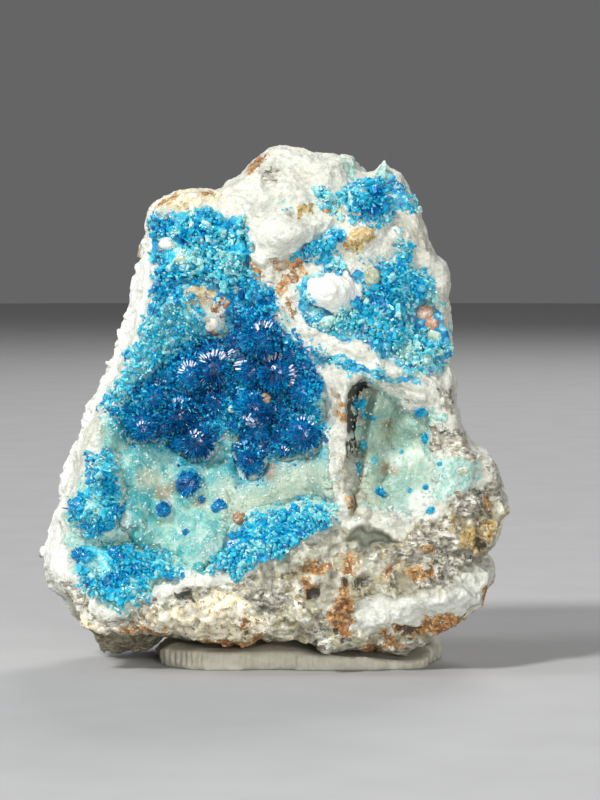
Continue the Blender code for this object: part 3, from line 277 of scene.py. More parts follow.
UPPER_RIGHT_FIELD = [
    (8.1, 31.0), (9.2, 31.0), (9.5, 32.8), (10.2, 32.8), (10.2, 31.0), (11.2, 30.5), (12.0, 29.8),
    (12.9, 28.2), (12.2, 28.4), (11.2, 28.2), (10.4, 27.4), (10.6, 26.3), (11.8, 25.3), (12.9, 25.2),
    (13.5, 24.0), (12.4, 22.9), (10.3, 22.9), (9.5, 23.5), (8.2, 24.7), (6.9, 25.4), (5.4, 26.1),
    (4.0, 25.9), (3.0, 26.5), (3.6, 27.1), (5.5, 27.5), (6.8, 28.7), (7.8, 29.0), (8.2, 30.0),
]
TOP_RIGHT_FIELD = [
    (5.0, 36.4), (5.8, 37.0), (6.3, 37.6), (7.5, 37.7), (8.2, 37.8), (8.2, 36.7), (8.4, 35.8), (9.0, 35.6),
    (9.1, 34.9), (8.5, 34.4), (7.8, 34.2), (7.3, 34.9), (6.5, 34.6), (5.7, 34.8), (4.9, 35.8),
]
TOP_PATCH_FIELD = [(3.0, 36.6), (3.6, 37.1), (4.3, 36.4), (4.4, 35.4), (4.8, 34.6), (3.6, 35.6)]
STREAK_FIELD = [
    (1.5, 31.3), (2.4, 32.3), (4.2, 33.3), (5.3, 33.6), (4.5, 32.5), (5.1, 31.0), (4.7, 30.5), (4.0, 30.7),
    (3.7, 31.9), (2.6, 31.8),
]
SIDE_STRIPE_FIELD = [(9.1, 37.5), (9.6, 37.5), (10.4, 36.3), (11.2, 35.0), (10.8, 34.8), (9.9, 35.8)]
SMALL_FIELDS = [
    [(1.8, 29.0), (2.4, 29.2), (3.2, 27.9), (3.6, 27.3), (2.7, 27.1), (2.0, 27.9)],
    [(0.2, 35.5), (1.2, 35.5), (1.1, 35.1), (0.3, 35.1)],
    [(3.2, 24.8), (5.3, 23.9), (8.2, 22.8), (8.0, 22.4), (5.0, 23.2), (3.6, 24.0)],
    [(6.4, 31.7), (7.4, 31.9), (8.2, 31.4), (7.6, 31.0), (6.6, 31.1)],
    [(9.2, 33.6), (9.6, 33.6), (9.5, 32.8), (9.2, 32.8)],
]
CURL_FIELD = [
    (-14.2, 16.3), (-13.0, 16.7), (-12.3, 16.3), (-12.2, 14.6), (-12.1, 13.6), (-11.6, 13.4), (-11.7, 12.0),
    (-11.9, 11.2), (-13.2, 10.3), (-14.7, 10.6), (-15.4, 11.9), (-15.6, 12.6), (-15.0, 13.3), (-14.2, 13.4),
    (-13.9, 12.9), (-13.8, 12.3), (-13.4, 11.9), (-12.9, 12.2), (-12.8, 12.9), (-13.1, 13.7), (-14.0, 14.6),
]
LOWER_LEFT_FIELD = [
    (-15.2, 7.8), (-14.2, 7.7), (-13.0, 7.4), (-12.5, 7.8), (-11.8, 7.6), (-12.6, 9.5), (-11.3, 9.6),
    (-10.0, 9.0), (-9.5, 9.5), (-8.7, 8.3), (-8.4, 9.1), (-7.8, 8.3), (-7.3, 8.5), (-6.9, 7.8), (-7.1, 7.4),
    (-9.2, 7.2), (-9.8, 6.3), (-9.2, 6.0), (-9.6, 5.5), (-10.9, 5.2), (-11.6, 4.8), (-12.3, 5.7),
    (-13.6, 5.7), (-14.7, 6.7),
]
LOWER_MIDDLE_FIELD = [
    (-5.2, 8.0), (-4.3, 8.4), (-3.9, 9.0), (-3.3, 9.3), (-3.2, 10.3), (-2.4, 10.9), (-1.8, 11.6),
    (-0.4, 12.3), (0.4, 12.0), (1.2, 12.7), (2.8, 13.1), (4.1, 12.7), (4.6, 12.3), (4.6, 11.6), (3.0, 11.1),
    (1.5, 10.3), (0.3, 9.2), (-1.4, 8.7), (-2.6, 7.4), (-3.6, 8.2), (-4.4, 7.9),
]
DRUSE_MAIN_FIELD = [
    (-14.4, 16.6), (-12.9, 19.6), (-11.0, 17.8), (-8.0, 17.0), (-6.4, 15.6), (-4.7, 16.2), (-4.4, 18.0),
    (-2.8, 18.2), (-2.9, 15.4), (-1.0, 14.8), (0.8, 16.1), (3.3, 17.0), (4.4, 18.4), (4.6, 16.4),
    (5.0, 13.4), (4.2, 13.2), (0.9, 13.0), (-2.6, 11.4), (-3.7, 9.8), (-5.6, 7.8), (-6.6, 7.4), (-8.0, 8.8),
    (-10.4, 9.8), (-12.4, 9.8), (-14.9, 10.6), (-13.4, 10.4), (-12.0, 11.2), (-11.7, 13.4), (-12.4, 16.3),
]
DRUSE_LEFT_FIELD = [
    (-12.6, 20.8), (-10.6, 24.4), (-8.9, 27.6), (-7.4, 28.6), (-5.2, 28.8), (-3.4, 28.0), (-3.4, 25.8),
    (-6.8, 25.6), (-8.4, 24.0), (-10.2, 21.8),
]
DRUSE_RIGHT_FIELD = [
    (6.3, 21.5), (8.3, 22.0), (9.3, 21.3), (10.2, 20.4), (12.0, 20.3), (12.4, 17.6), (12.9, 15.0),
    (12.5, 13.0), (11.2, 12.0), (9.8, 11.2), (8.0, 11.8), (6.9, 12.0), (6.3, 13.6), (6.0, 16.0),
    (5.9, 18.9),
]

# Rosettes and balls of blades: X, Z, radius
MAIN_ROSETTES = [
    (-0.9, 25.6, 1.9), (-4.6, 23.2, 1.7), (0.3, 22.8, 1.7), (-6.5, 22.6, 1.2), (-1.5, 20.0, 1.6),
    (2.3, 18.3, 1.5), (-1.8, 16.0, 1.15), (0.8, 17.0, 0.8), (-5.8, 17.5, 1.5), (-10.0, 18.5, 1.15),
    (-7.3, 19.5, 1.6), (-4.3, 20.5, 1.2), (2.3, 21.3, 1.3), (-9.3, 21.0, 1.2), (-1.8, 22.8, 1.3),
    (-1.2, 18.2, 1.1), (1.4, 24.3, 1.1), (-11.2, 20.2, 0.9), (-11.0, 19.1, 0.75), (-12.1, 20.0, 0.55),
    (-8.2, 22.6, 0.8), (-2.9, 25.2, 0.8), (-3.0, 18.9, 0.7), (0.9, 19.9, 0.9), (3.0, 19.6, 0.7),
    (-6.0, 20.7, 0.8), (-8.6, 18.6, 0.8), (-0.2, 21.2, 0.8), (-2.6, 16.9, 0.6), (-4.0, 19.0, 0.6),
    (-1.7, 27.2, 0.7), (-7.3, 17.3, 0.8),
]
# Scattered crystals reach this far around the large cluster
FRINGE = [
    (-13.6, 19.6), (-12.8, 21.2), (-9.8, 23.4), (-7.2, 26.0), (-3.6, 26.4), (-2.6, 28.2), (0.4, 28.4),
    (3.6, 25.0), (3.8, 23.0), (3.8, 18.0), (3.4, 16.2), (-0.4, 15.4), (-2.4, 14.0), (-4.4, 15.4),
    (-6.4, 14.6), (-9.6, 16.6),
]
# Lighter and darker parts of the blue crusts: X, Z, radius, change of tint
MAIN_SPOTS = [
    (-10.6, 20.6, 2.4, 0.16), (-7.4, 19.0, 1.5, -0.2), (-3.8, 18.5, 1.4, 0.26), (3.1, 20.4, 1.2, 0.2),
    (2.6, 23.8, 1.4, 0.16), (-2.9, 21.5, 1.0, 0.16), (-7.6, 23.6, 1.3, 0.14), (-0.4, 19.2, 1.0, -0.12),
    (-4.6, 22.4, 0.9, -0.14), (0.6, 17.0, 0.8, 0.12), (-9.6, 18.4, 0.9, -0.1), (-0.5, 23.0, 1.4, -0.12),
    (-5.4, 17.2, 1.2, -0.16), (2.4, 18.0, 1.0, -0.1), (-1.8, 16.4, 1.3, -0.12),
]
# Of these, the darkening at X -7.5, Z 28.6 is a painted shadow; the rest are the crust's own lighter and
# darker parts
UPPER_LEFT_SPOTS = [
    (-9.3, 34.2, 0.8, -0.3), (-8.0, 32.7, 1.0, 0.3), (-6.7, 31.5, 0.9, 0.28), (-7.0, 32.9, 0.4, -0.5),
    (-7.5, 28.6, 1.1, -0.36), (-4.7, 33.6, 0.8, -0.1), (-4.4, 31.6, 1.4, 0.12), (-2.6, 28.9, 1.0, -0.3),
    (-0.8, 28.5, 0.8, -0.36), (-6.9, 34.1, 0.7, 0.06), (-3.2, 33.2, 0.8, 0.1), (-8.2, 30.4, 0.8, -0.06),
]
UPPER_RIGHT_SPOTS = [
    (9.2, 29.6, 1.2, -0.1), (7.4, 28.4, 0.8, -0.16), (10.2, 24.4, 1.2, 0.16), (4.4, 26.6, 1.2, 0.16),
    (9.2, 26.6, 1.5, -0.06), (12.4, 28.6, 0.9, 0.14), (12.8, 23.8, 0.9, 0.1), (8.2, 26.0, 0.8, 0.12),
]
TOP_RIGHT_SPOTS = [
    (7.9, 36.6, 0.9, -0.24), (7.6, 34.8, 0.6, -0.3), (6.2, 36.0, 1.0, 0.1), (8.6, 34.8, 0.7, 0.16),
]
LOWER_LEFT_SPOTS = [(-13.5, 8.2, 0.75, 0.4), (-14.9, 9.0, 0.5, -0.1), (-9.0, 6.6, 1.0, 0.06)]
CURL_SPOTS = [(-13.5, 12.9, 0.75, 0.42), (-13.0, 15.6, 0.7, 0.12), (-12.1, 14.6, 0.8, -0.06)]
# Smaller balls on the druses and the crusts: X, Z, radius
DRUSE_BALLS = [
    (-6.5, 14.2, 1.2), (-8.5, 12.3, 0.75), (-4.1, 12.5, 0.75), (-6.7, 10.6, 0.3), (-5.6, 13.1, 0.45),
]
RIGHT_BALLS = [
    (6.6, 20.4, 0.6), (7.0, 19.6, 0.55), (11.2, 20.0, 0.65), (11.7, 17.8, 0.5), (7.0, 17.2, 0.5),
    (7.6, 16.1, 0.32), (6.6, 15.4, 0.6), (8.0, 13.6, 0.6), (10.4, 13.8, 0.25), (11.6, 14.1, 0.32),
    (12.6, 15.9, 0.22), (9.8, 16.6, 0.2), (11.9, 12.4, 0.5), (7.6, 19.3, 0.3),
]
LOWER_LEFT_BALLS = [
    (-14.9, 8.9, 0.62), (-14.2, 8.8, 0.58), (-12.1, 9.1, 0.6), (-11.6, 8.6, 0.62), (-12.5, 6.9, 0.7),
    (-11.7, 7.2, 0.6), (-10.4, 7.9, 0.5), (-13.9, 6.9, 0.45),
]
CURL_BALLS = [(-14.8, 12.7, 0.85), (-12.1, 12.4, 0.55), (-12.5, 11.3, 0.5), (-13.7, 11.2, 0.5)]


# Cells around the one that a point is in, and the corners of a cell
NEIGHBOURS = list(itertools.product((-1.0, 0.0, 1.0), repeat=3))
CELL_CORNERS = list(itertools.product((0.0, 1.0), repeat=3))
# Large odd numbers that scatter the bits of a cell's place, and the bits that are kept
CELL_FACTORS = (73856093, 19349663, 83492791)
SEED_FACTOR = 26544357
MIX_FACTOR = 1274126177
LOW_BITS = 0x7FFFFFFF
# What is added to a seed for further numbers of the same cell
TILT_SEED = 50
OWN_SEED = 70
# How much of a facet's height is its own, in cells
FACET_RISE = 0.7


def smoothstep(values):
    """A smooth rise from 0 to 1 as the values do."""
    values = np.clip(values, 0.0, 1.0)
    return values * values * (3.0 - 2.0 * values)


def hashed(cells, seed):
    """Three numbers from 0 to 1 for each whole-number cell."""
    x, y, z = (cells.astype(np.int64) * CELL_FACTORS).T
    mixed = x ^ y ^ z ^ (seed + 1) * SEED_FACTOR
    found = []
    for _ in range(3):
        mixed = ((mixed ^ (mixed >> 13)) & LOW_BITS) * MIX_FACTOR
        mixed = (mixed ^ (mixed >> 16)) & LOW_BITS
        found.append(mixed / 2.0**31)
    return np.stack(found, axis=1)


def soft_noise(points, size, seed, octaves=1):
    """Smooth noise from -1 to 1, with its widest swing at a size in millimetres."""
    total = np.zeros(len(points))
    for octave in range(octaves):
        scaled = points / (size * 0.5**octave)
        low = np.floor(scaled)
        share = smoothstep(scaled - low)
        for corner in CELL_CORNERS:
            weight = np.prod(np.where(corner, share, 1.0 - share), axis=1)
            total += 0.5**octave * weight * (2.0 * hashed(low + corner, seed + octave)[:, 0] - 1.0)
    return total


def crags(points, size, seed, peak, lean):
    """Creased relief, about 0 to 1: the highest of the tilted facets around each point."""
    scaled = points / size
    low = np.floor(scaled)
    best = np.full(len(points), -np.inf)
    for shift in NEIGHBOURS:
        cell = low + shift
        place = hashed(cell, seed)
        tilt = hashed(cell, seed + TILT_SEED) - 0.5
        away = scaled - cell - place
        height = FACET_RISE * place[:, 0] + lean * (tilt * away).sum(axis=1)
        best = np.maximum(best, height - peak * np.sqrt((away**2).sum(axis=1)))
    return best


def nearest_seed(points, size, seed):
    """For each point, the way to it from the nearest of a scatter of seeds, and that seed's own numbers."""
    scaled = points / size
    low = np.floor(scaled)
    best = np.full(len(points), np.inf)
    way = np.zeros((len(points), 3))
    numbers = np.zeros((len(points), 3))
    for shift in NEIGHBOURS:
        cell = low + shift
        away = scaled - cell - hashed(cell, seed)
        distance = np.sqrt((away**2).sum(axis=1))
        closer = distance < best
        best = np.where(closer, distance, best)
        way[closer] = away[closer]
        numbers[closer] = hashed(cell[closer], seed + OWN_SEED)
    return way * size, numbers


def depth_inside(points, outline):
    """Distance of each X and Z from the outline, positive inside it."""
    corners = np.array(outline)
    low, high = corners.min(axis=0) - OUTLINE_REACH, corners.max(axis=0) + OUTLINE_REACH
    near = np.all((points > low) & (points < high), axis=1)
    spots = points[near]
    ends = np.roll(corners, -1, axis=0)
    run = ends - corners
    offset = spots[:, None, :] - corners[None]
    share = np.clip((offset * run).sum(2) / (run * run).sum(1), 0.0, 1.0)
    distance = np.linalg.norm(offset - share[..., None] * run, axis=2).min(axis=1)
    crosses = (corners[:, 1] > spots[:, 1:2]) != (ends[:, 1] > spots[:, 1:2])
    rise = np.where(run[:, 1] == 0.0, 1.0, run[:, 1])
    left_of = spots[:, :1] < corners[:, 0] + offset[..., 1] * run[:, 0] / rise
    inside = (crosses & left_of).sum(1) % 2 == 1
    found = np.full(len(points), WELL_OUTSIDE)
    found[near] = np.where(inside, distance, -distance)
    return found


def wandered(points, seed):
    """X and Z of each point, moved a little by noise, so that what follows an outline has a ragged edge."""
    shift = [soft_noise(points, WANDER_SIZE, seed + k, 2) * ZONE_WANDER for k in (0, 5)]
    return points[:, [0, 2]] + np.stack(shift, axis=1)


def zone(places, outlines, edge=ZONE_EDGE):
    """Share from 0 to 1 of a zone at each place, rising over an edge in millimetres."""
    found = np.zeros(len(places))
    for outline in outlines:
        found = np.maximum(found, smoothstep(depth_inside(places, outline) / edge + 0.5))
    return found


def arrays_of(mesh):
    """Places and outward directions of a mesh's vertices, and its triangles."""
    mesh.calc_loop_triangles()
    places = np.zeros(len(mesh.vertices) * 3)
    normals = np.zeros(len(mesh.vertices) * 3)
    corners = np.zeros(len(mesh.loop_triangles) * 3, dtype=np.int32)
    mesh.vertices.foreach_get("co", places)
    mesh.vertices.foreach_get("normal", normals)
    mesh.loop_triangles.foreach_get("vertices", corners)
    return places.reshape(-1, 3), normals.reshape(-1, 3), corners.reshape(-1, 3)


def linked(name, data):
    """A new object of the scene."""
    made = bpy.data.objects.new(name, data)
    bpy.context.scene.collection.objects.link(made)
    return made


def solid_mesh(node):
    """A node's solid in millimetres, its corners welded."""
    bm = bmesh.new()
    bm.from_mesh(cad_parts[node].data)
    bmesh.ops.scale(bm, vec=(1 / MM, 1 / MM, 1 / MM), verts=bm.verts[:])
    bmesh.ops.remove_doubles(bm, verts=bm.verts[:], dist=WELD)
    mesh = bpy.data.meshes.new(node + "_work")
    bm.to_mesh(mesh)
    bm.free()
    return mesh


def halve(mesh, finer):
    """Halves the faces of a mesh that finer picks by their middles and directions."""
    bm = bmesh.new()
    bm.from_mesh(mesh)
    middles = np.array([face.calc_center_median()[:] for face in bm.faces])
    picked = finer(middles, np.array([face.normal[:] for face in bm.faces]))
    edges = {edge for face, wanted in zip(bm.faces, picked) if wanted for edge in face.edges}
    bmesh.ops.subdivide_edges(bm, edges=list(edges), cuts=1, use_grid_fill=True)
    bmesh.ops.triangulate(bm, faces=bm.faces[:])
    bm.to_mesh(mesh)
    bm.free()


def remeshed(node, voxel, smoothing, finer):
    """A node's solid in millimetres as an even mesh, finer where its faces are picked."""
    work = linked(node + "_work", solid_mesh(node))
    remesh = work.modifiers.new("even", "REMESH")
    remesh.mode = "VOXEL"
    remesh.voxel_size = voxel
    smooth = work.modifiers.new("soft", "SMOOTH")
    smooth.factor = 0.5
    smooth.iterations = smoothing
    made = bpy.data.meshes.new_from_object(work.evaluated_get(bpy.context.evaluated_depsgraph_get()))
    bpy.data.objects.remove(work, do_unlink=True)
    halve(made, finer)
    return arrays_of(made)


def add_piece(name, places, faces, material, slot, nodes=(), smooth=True, **marks):
    """Makes a piece of the object in metres. Marks are numbers or colours kept on its vertices."""
    mesh = bpy.data.meshes.new(name)
    mesh.from_pydata(places * MM, [], faces.tolist())
    for mark, values in marks.items():
        values = np.asarray(values, dtype=np.float32)
        if values.ndim == 1:
            kept = mesh.attributes.new(mark, "FLOAT", "POINT")
            kept.data.foreach_set("value", values)
        else:
            kept = mesh.attributes.new(mark, "FLOAT_COLOR", "POINT")
            padded = np.hstack([values, np.ones((len(values), 1), dtype=np.float32)])
            kept.data.foreach_set("color", padded.ravel())
    mesh.polygons.foreach_set("use_smooth", np.full(len(mesh.polygons), smooth))
    mesh.materials.append(material)
    made = linked(name, mesh)
    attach(made, "root")
    if nodes:
        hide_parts(*nodes)
    return made


# Materials

# Sockets of a colour mix: its share and two colours, and its result
MIX_INPUTS = (0, 6, 7)
MIX_RESULT = 2
BUMP_STRENGTH = 0.8
# How far the outlines of grains are moved, in sizes of a grain
GRAIN_WARP = 1.6
# How strongly the blue crystals bend light
BLUE_IOR = 1.64


def feed(tree, node, inputs):
    """Sets a node's inputs. Each is a number or colour, or the socket that feeds it."""
    for key, value in inputs.items():
        if isinstance(value, bpy.types.NodeSocket):
            tree.links.new(value, node.inputs[key])
        else:
            node.inputs[key].default_value = value


def put(tree, kind, inputs=None, **settings):
    """Adds a shader node with its settings and inputs."""
    made = tree.nodes.new(kind)
    for key, value in settings.items():
        setattr(made, key, value)
    feed(tree, made, inputs or {})
    return made


def blank(name):
    """A new material, with its tree, its shader and the place on the object that its patterns follow."""
    made = bpy.data.materials.new(name)
    made.use_nodes = True
    tree = made.node_tree
    shader = tree.nodes["Principled BSDF"]
    place = put(tree, "ShaderNodeTexCoord").outputs["Object"]
    return made, tree, shader, place


def grain(tree, place, size, detail=3.0, rough=0.6):
    """Noise from 0 to 1 with its widest swing at a size in millimetres."""
    inputs = {"Vector": place, "Scale": 1.0 / (size * MM), "Detail": detail, "Roughness": rough}
    return put(tree, "ShaderNodeTexNoise", inputs).outputs["Fac"]


def channels(tree, colour):
    """The red, green and blue of a colour."""
    parts = put(tree, "ShaderNodeSeparateColor", {"Color": colour}).outputs
    return parts["Red"], parts["Green"], parts["Blue"]


def grains(tree, place, size):
    """A random grey for each grain of a size in millimetres."""
    inputs = {"Vector": place, "Scale": 1.0 / (size * MM)}
    return channels(tree, put(tree, "ShaderNodeTexVoronoi", inputs).outputs["Color"])[0]


def levels(tree, value, low, high, to_low=0.0, to_high=1.0):
    """A value spread from between two numbers to between two others, and held there."""
    inputs = {"Value": value, "From Min": low, "From Max": high, "To Min": to_low, "To Max": to_high}
    return put(tree, "ShaderNodeMapRange", inputs).outputs["Result"]


def calc(tree, kind, a, b):
    return put(tree, "ShaderNodeMath", {0: a, 1: b}, operation=kind).outputs["Value"]


def times(tree, a, b):
    return calc(tree, "MULTIPLY", a, b)


def plus(tree, a, b):
    return calc(tree, "ADD", a, b)


def opaque(value):
    """A colour with its alpha added. A socket or number stays as it is."""
    return (*value, 1.0) if isinstance(value, tuple) else value


def blended(tree, share, first, second):
    """Mixes two colours, each a colour or a socket."""
    inputs = dict(zip(MIX_INPUTS, (share, opaque(first), opaque(second))))
    return put(tree, "ShaderNodeMix", inputs, data_type="RGBA").outputs[MIX_RESULT]


def flecked(tree, base, value, low, high, share, colour):
    """A colour laid over the base one, from none where the value is low to a share where it is high."""
    return blended(tree, levels(tree, value, low, high, 0.0, share), base, colour)


def ramp(tree, value, *stops):
    """A colour ramp through stops, each a place and a colour."""
    made = put(tree, "ShaderNodeValToRGB", {"Fac": value})
    colours = made.color_ramp.elements
    while len(colours) < len(stops):
        colours.new(0.5)
    for element, (place, colour) in zip(colours, stops):
        element.position = place
        element.color = opaque(colour)
    return made.outputs["Color"]


def mark(tree, name, output="Fac"):
    """What is marked on the mesh under a name, as a number or as a colour."""
    return put(tree, "ShaderNodeAttribute", attribute_name=name).outputs[output]


def scatter(weight, reach, depth):
    """Light scattered below the surface: its weight, its reach in red, green and blue, and depth in mm."""
    return {"Subsurface Weight": weight, "Subsurface Radius": reach, "Subsurface Scale": depth * MM}


def bumped(tree, shader, height, depth):
    """Bump from a height of 0 to 1, at a depth in millimetres."""
    inputs = {"Height": height, "Distance": depth * MM, "Strength": BUMP_STRENGTH}
    bump = put(tree, "ShaderNodeBump", inputs)
    feed(tree, shader, {"Normal": bump.outputs["Normal"]})


def warped(tree, place, size, reach):
    """The place moved by noise, so that grains get uneven outlines."""
    noise = put(tree, "ShaderNodeTexNoise", {"Vector": place, "Scale": 1.0 / (size * MM), "Detail": 2.0})
    halves = {0: noise.outputs["Color"], 1: (0.5, 0.5, 0.5)}
    centred = put(tree, "ShaderNodeVectorMath", halves, operation="SUBTRACT").outputs["Vector"]
    moved = put(tree, "ShaderNodeVectorMath", {0: centred, "Scale": reach * MM}, operation="SCALE")
    return put(tree, "ShaderNodeVectorMath", {0: place, 1: moved.outputs["Vector"]}).outputs["Vector"]


def mixed_grain(tree, place, size):
    """An even spread from 0 to 1 that changes from grain to grain and a little inside each."""
    wide = GRAIN_WARP * size
    cell = grains(tree, warped(tree, place, size, wide), size)
    soft = levels(tree, grain(tree, place, wide, 4.0, 0.65), 0.3, 0.7)
    return plus(tree, times(tree, cell, 0.5), times(tree, soft, 0.5))


# The rock's layers lie nearly flat, so what follows them is longer across than up
BEDDING = (0.6, 0.6, 1.15)
LAYERED = (0.5, 0.5, 1.5)
# The stains of the rock and the painted shade of its gaps and pocket, three to each mark on its mesh
STAINS_AND_SHADES = {
    "stain_a": ("ore", "rust", "broken"),
    "stain_and_shade_b": ("ochre", "gap_shade", "aqua"),
    "stain_c": ("cream", "beige", "under"),
    "stain_and_shade_d": ("azure", "clean", "deep"),
}
# Stains in the order in which they cover the rock, each with how far its edge swings from grain to grain
LAID_OVER = {"broken": 1.0, "cream": 0.9, "beige": 0.9, "aqua": 1.4, "ore": 1.9, "ochre": 2.0, "azure": 1.2}
# Share of a stain at which its ragged edge lies, from clear of it to covered
RAGGED_EDGE = (0.42, 0.58)


def rock_tones(tree, fine, medium, layered, broad):
    """The colour of the plain rock and of each of its stains, by the name of the stain."""
    tones = {
        "white": ramp(
            tree, fine, (0.1, (0.46, 0.46, 0.39)), (0.24, (0.64, 0.64, 0.55)), (0.5, (0.68, 0.70, 0.605)),
            (0.85, (0.84, 0.84, 0.78)),
        ),
        "broken": ramp(
            tree, medium, (0.14, (0.09, 0.08, 0.055)), (0.28, (0.34, 0.31, 0.20)),
            (0.4, (0.53, 0.44, 0.24)), (0.48, (0.39, 0.39, 0.31)), (0.6, (0.61, 0.59, 0.43)),
            (0.8, (0.83, 0.82, 0.72)),
        ),
        "cream": ramp(
            tree, medium, (0.15, (0.34, 0.29, 0.19)), (0.26, (0.84, 0.74, 0.49)),
            (0.46, (0.95, 0.87, 0.63)), (0.55, (0.70, 0.58, 0.40)), (0.64, (0.90, 0.86, 0.70)),
            (0.85, (0.94, 0.91, 0.80)),
        ),
        "beige": ramp(
            tree, medium, (0.1, (0.28, 0.27, 0.20)), (0.5, (0.50, 0.49, 0.38)), (0.9, (0.72, 0.71, 0.60))
        ),
        "ore": ramp(
            tree, layered, (0.14, (0.07, 0.067, 0.058)), (0.3, (0.23, 0.22, 0.18)),
            (0.5, (0.43, 0.42, 0.34)), (0.68, (0.68, 0.66, 0.55)), (0.85, (0.93, 0.91, 0.82)),
        ),
        "rust": ramp(
            tree, fine, (0.14, (0.05, 0.02, 0.008)), (0.34, (0.24, 0.10, 0.03)), (0.52, (0.43, 0.20, 0.06)),
            (0.7, (0.60, 0.36, 0.15)), (0.9, (0.74, 0.57, 0.36)),
        ),
        "ochre": ramp(
            tree, fine, (0.14, (0.12, 0.07, 0.02)), (0.34, (0.40, 0.25, 0.06)), (0.55, (0.62, 0.46, 0.20)),
            (0.9, (0.80, 0.72, 0.50)),
        ),
        "aqua": ramp(
            tree, fine, (0.15, (0.16, 0.46, 0.43)), (0.45, (0.42, 0.66, 0.57)), (0.85, (0.70, 0.80, 0.72))
        ),
        "azure": ramp(
            tree, medium, (0.1, (0.0, 0.06, 0.2)), (0.3, (0.0, 0.17, 0.42)), (0.48, (0.01, 0.32, 0.58)),
            (0.62, (0.06, 0.48, 0.64)), (0.76, (0.30, 0.66, 0.66)), (0.9, (0.68, 0.82, 0.76)),
        ),
        "under": ramp(
            tree, fine, (0.2, (0.10, 0.09, 0.055)), (0.5, (0.28, 0.25, 0.17)), (0.85, (0.46, 0.42, 0.30))
        ),
    }
    # The clean rock is the plain white without its flecks
    tones["clean"] = tones["white"]
    # Flecks over a tone: its name, the pattern, from and to which of its values, the share, the colour
    for kind, pattern, low, high, share, colour in (
        ("white", broad, 0.48, 0.7, 0.6, (0.64, 0.62, 0.50)),
        ("white", broad, 0.42, 0.3, 0.45, (0.60, 0.66, 0.58)),
        ("broken", layered, 0.30, 0.14, 1.0, (0.12, 0.11, 0.09)),
        ("cream", fine, 0.26, 0.14, 1.0, (0.16, 0.13, 0.09)),
        ("cream", broad, 0.5, 0.64, 0.4, (0.60, 0.62, 0.50)),
        ("ore", medium, 0.62, 0.76, 0.45, (0.54, 0.46, 0.29)),
        ("ore", medium, 0.34, 0.22, 0.5, (0.74, 0.73, 0.67)),
        ("rust", medium, 0.42, 0.28, 0.7, (0.09, 0.045, 0.018)),
    ):
        tones[kind] = flecked(tree, tones[kind], pattern, low, high, share, colour)
    return tones


def rock_material():
    """Pale altered rock with grey ore, rust, ochre, cream and painted shade where the marks on the mesh put
    them.
    """
    made, tree, shader, place = blank("altered_rock")
    fine = mixed_grain(tree, place, 0.24)
    medium = mixed_grain(tree, place, 0.5)
    bedded = put(tree, "ShaderNodeMapping", {"Vector": place, "Scale": BEDDING}).outputs["Vector"]
    tones = rock_tones(tree, fine, medium, mixed_grain(tree, bedded, 0.26), grain(tree, place, 2.6, 3.0))
    shares = {}
    for name, kinds in STAINS_AND_SHADES.items():
        shares.update(zip(kinds, channels(tree, mark(tree, name, "Color"))))

    def ragged(kind, reach, pattern=medium):
        """A stain's or painted shade's share, with its edge broken up grain by grain."""
        swing = times(tree, calc(tree, "SUBTRACT", pattern, 0.5), reach)
        moved = plus(tree, shares[kind], times(tree, swing, levels(tree, shares[kind], 0.0, 0.25)))
        return levels(tree, moved, *RAGGED_EDGE)

    colour = tones["white"]
    for kind, reach in LAID_OVER.items():
        colour = blended(tree, ragged(kind, reach), colour, tones[kind])
    crease_shade = mark(tree, "crease_shade")
    crease_shade_strength = levels(tree, calc(tree, "MAXIMUM", shares["broken"], shares["ore"]), 0.0, 1.0, 0.15, 0.5)
    bright = levels(tree, shares["clean"], 0.85, 0.98, 0.1, 1.0)
    clean = blended(tree, bright, tones["clean"], (0.92, 0.93, 0.87))
    # What lies over the stains, each with its share: painted shade in the creases of the broken rock and
    # ore, the clean rock, lighter painted shade in every crease, rust, the darker bottom, painted shade in
    # the pits and the crevice, and the pocket's green grey darkened as painted shade
    for share, over in (
        (times(tree, crease_shade, crease_shade_strength), (0.13, 0.115, 0.085)),
        (ragged("clean", 0.4), clean),
        (times(tree, crease_shade, 0.22), (0.36, 0.35, 0.28)),
        (ragged("rust", 1.5, fine), tones["rust"]),
        (ragged("under", 0.9), tones["under"]),
        (times(tree, ragged("gap_shade", 1.2), 0.9), (0.035, 0.03, 0.022)),
        (times(tree, shares["deep"], 0.8), (0.30, 0.33, 0.26)),
    ):
        colour = blended(tree, share, colour, over)
    glint = times(tree, ragged("ore", LAID_OVER["ore"]), levels(tree, fine, 0.35, 0.6))
    rough = levels(tree, glint, 0.0, 1.0, 0.62, 0.28)
    feed(tree, shader, {"Base Color": colour, "Metallic": times(tree, glint, 0.5), "Roughness": rough})
    feed(tree, shader, scatter(0.12, (0.9, 0.8, 0.6), 0.5))
    bumped(tree, shader, plus(tree, times(tree, grain(tree, place, 0.14, 3.0), 0.5), fine), 0.17)
    return made


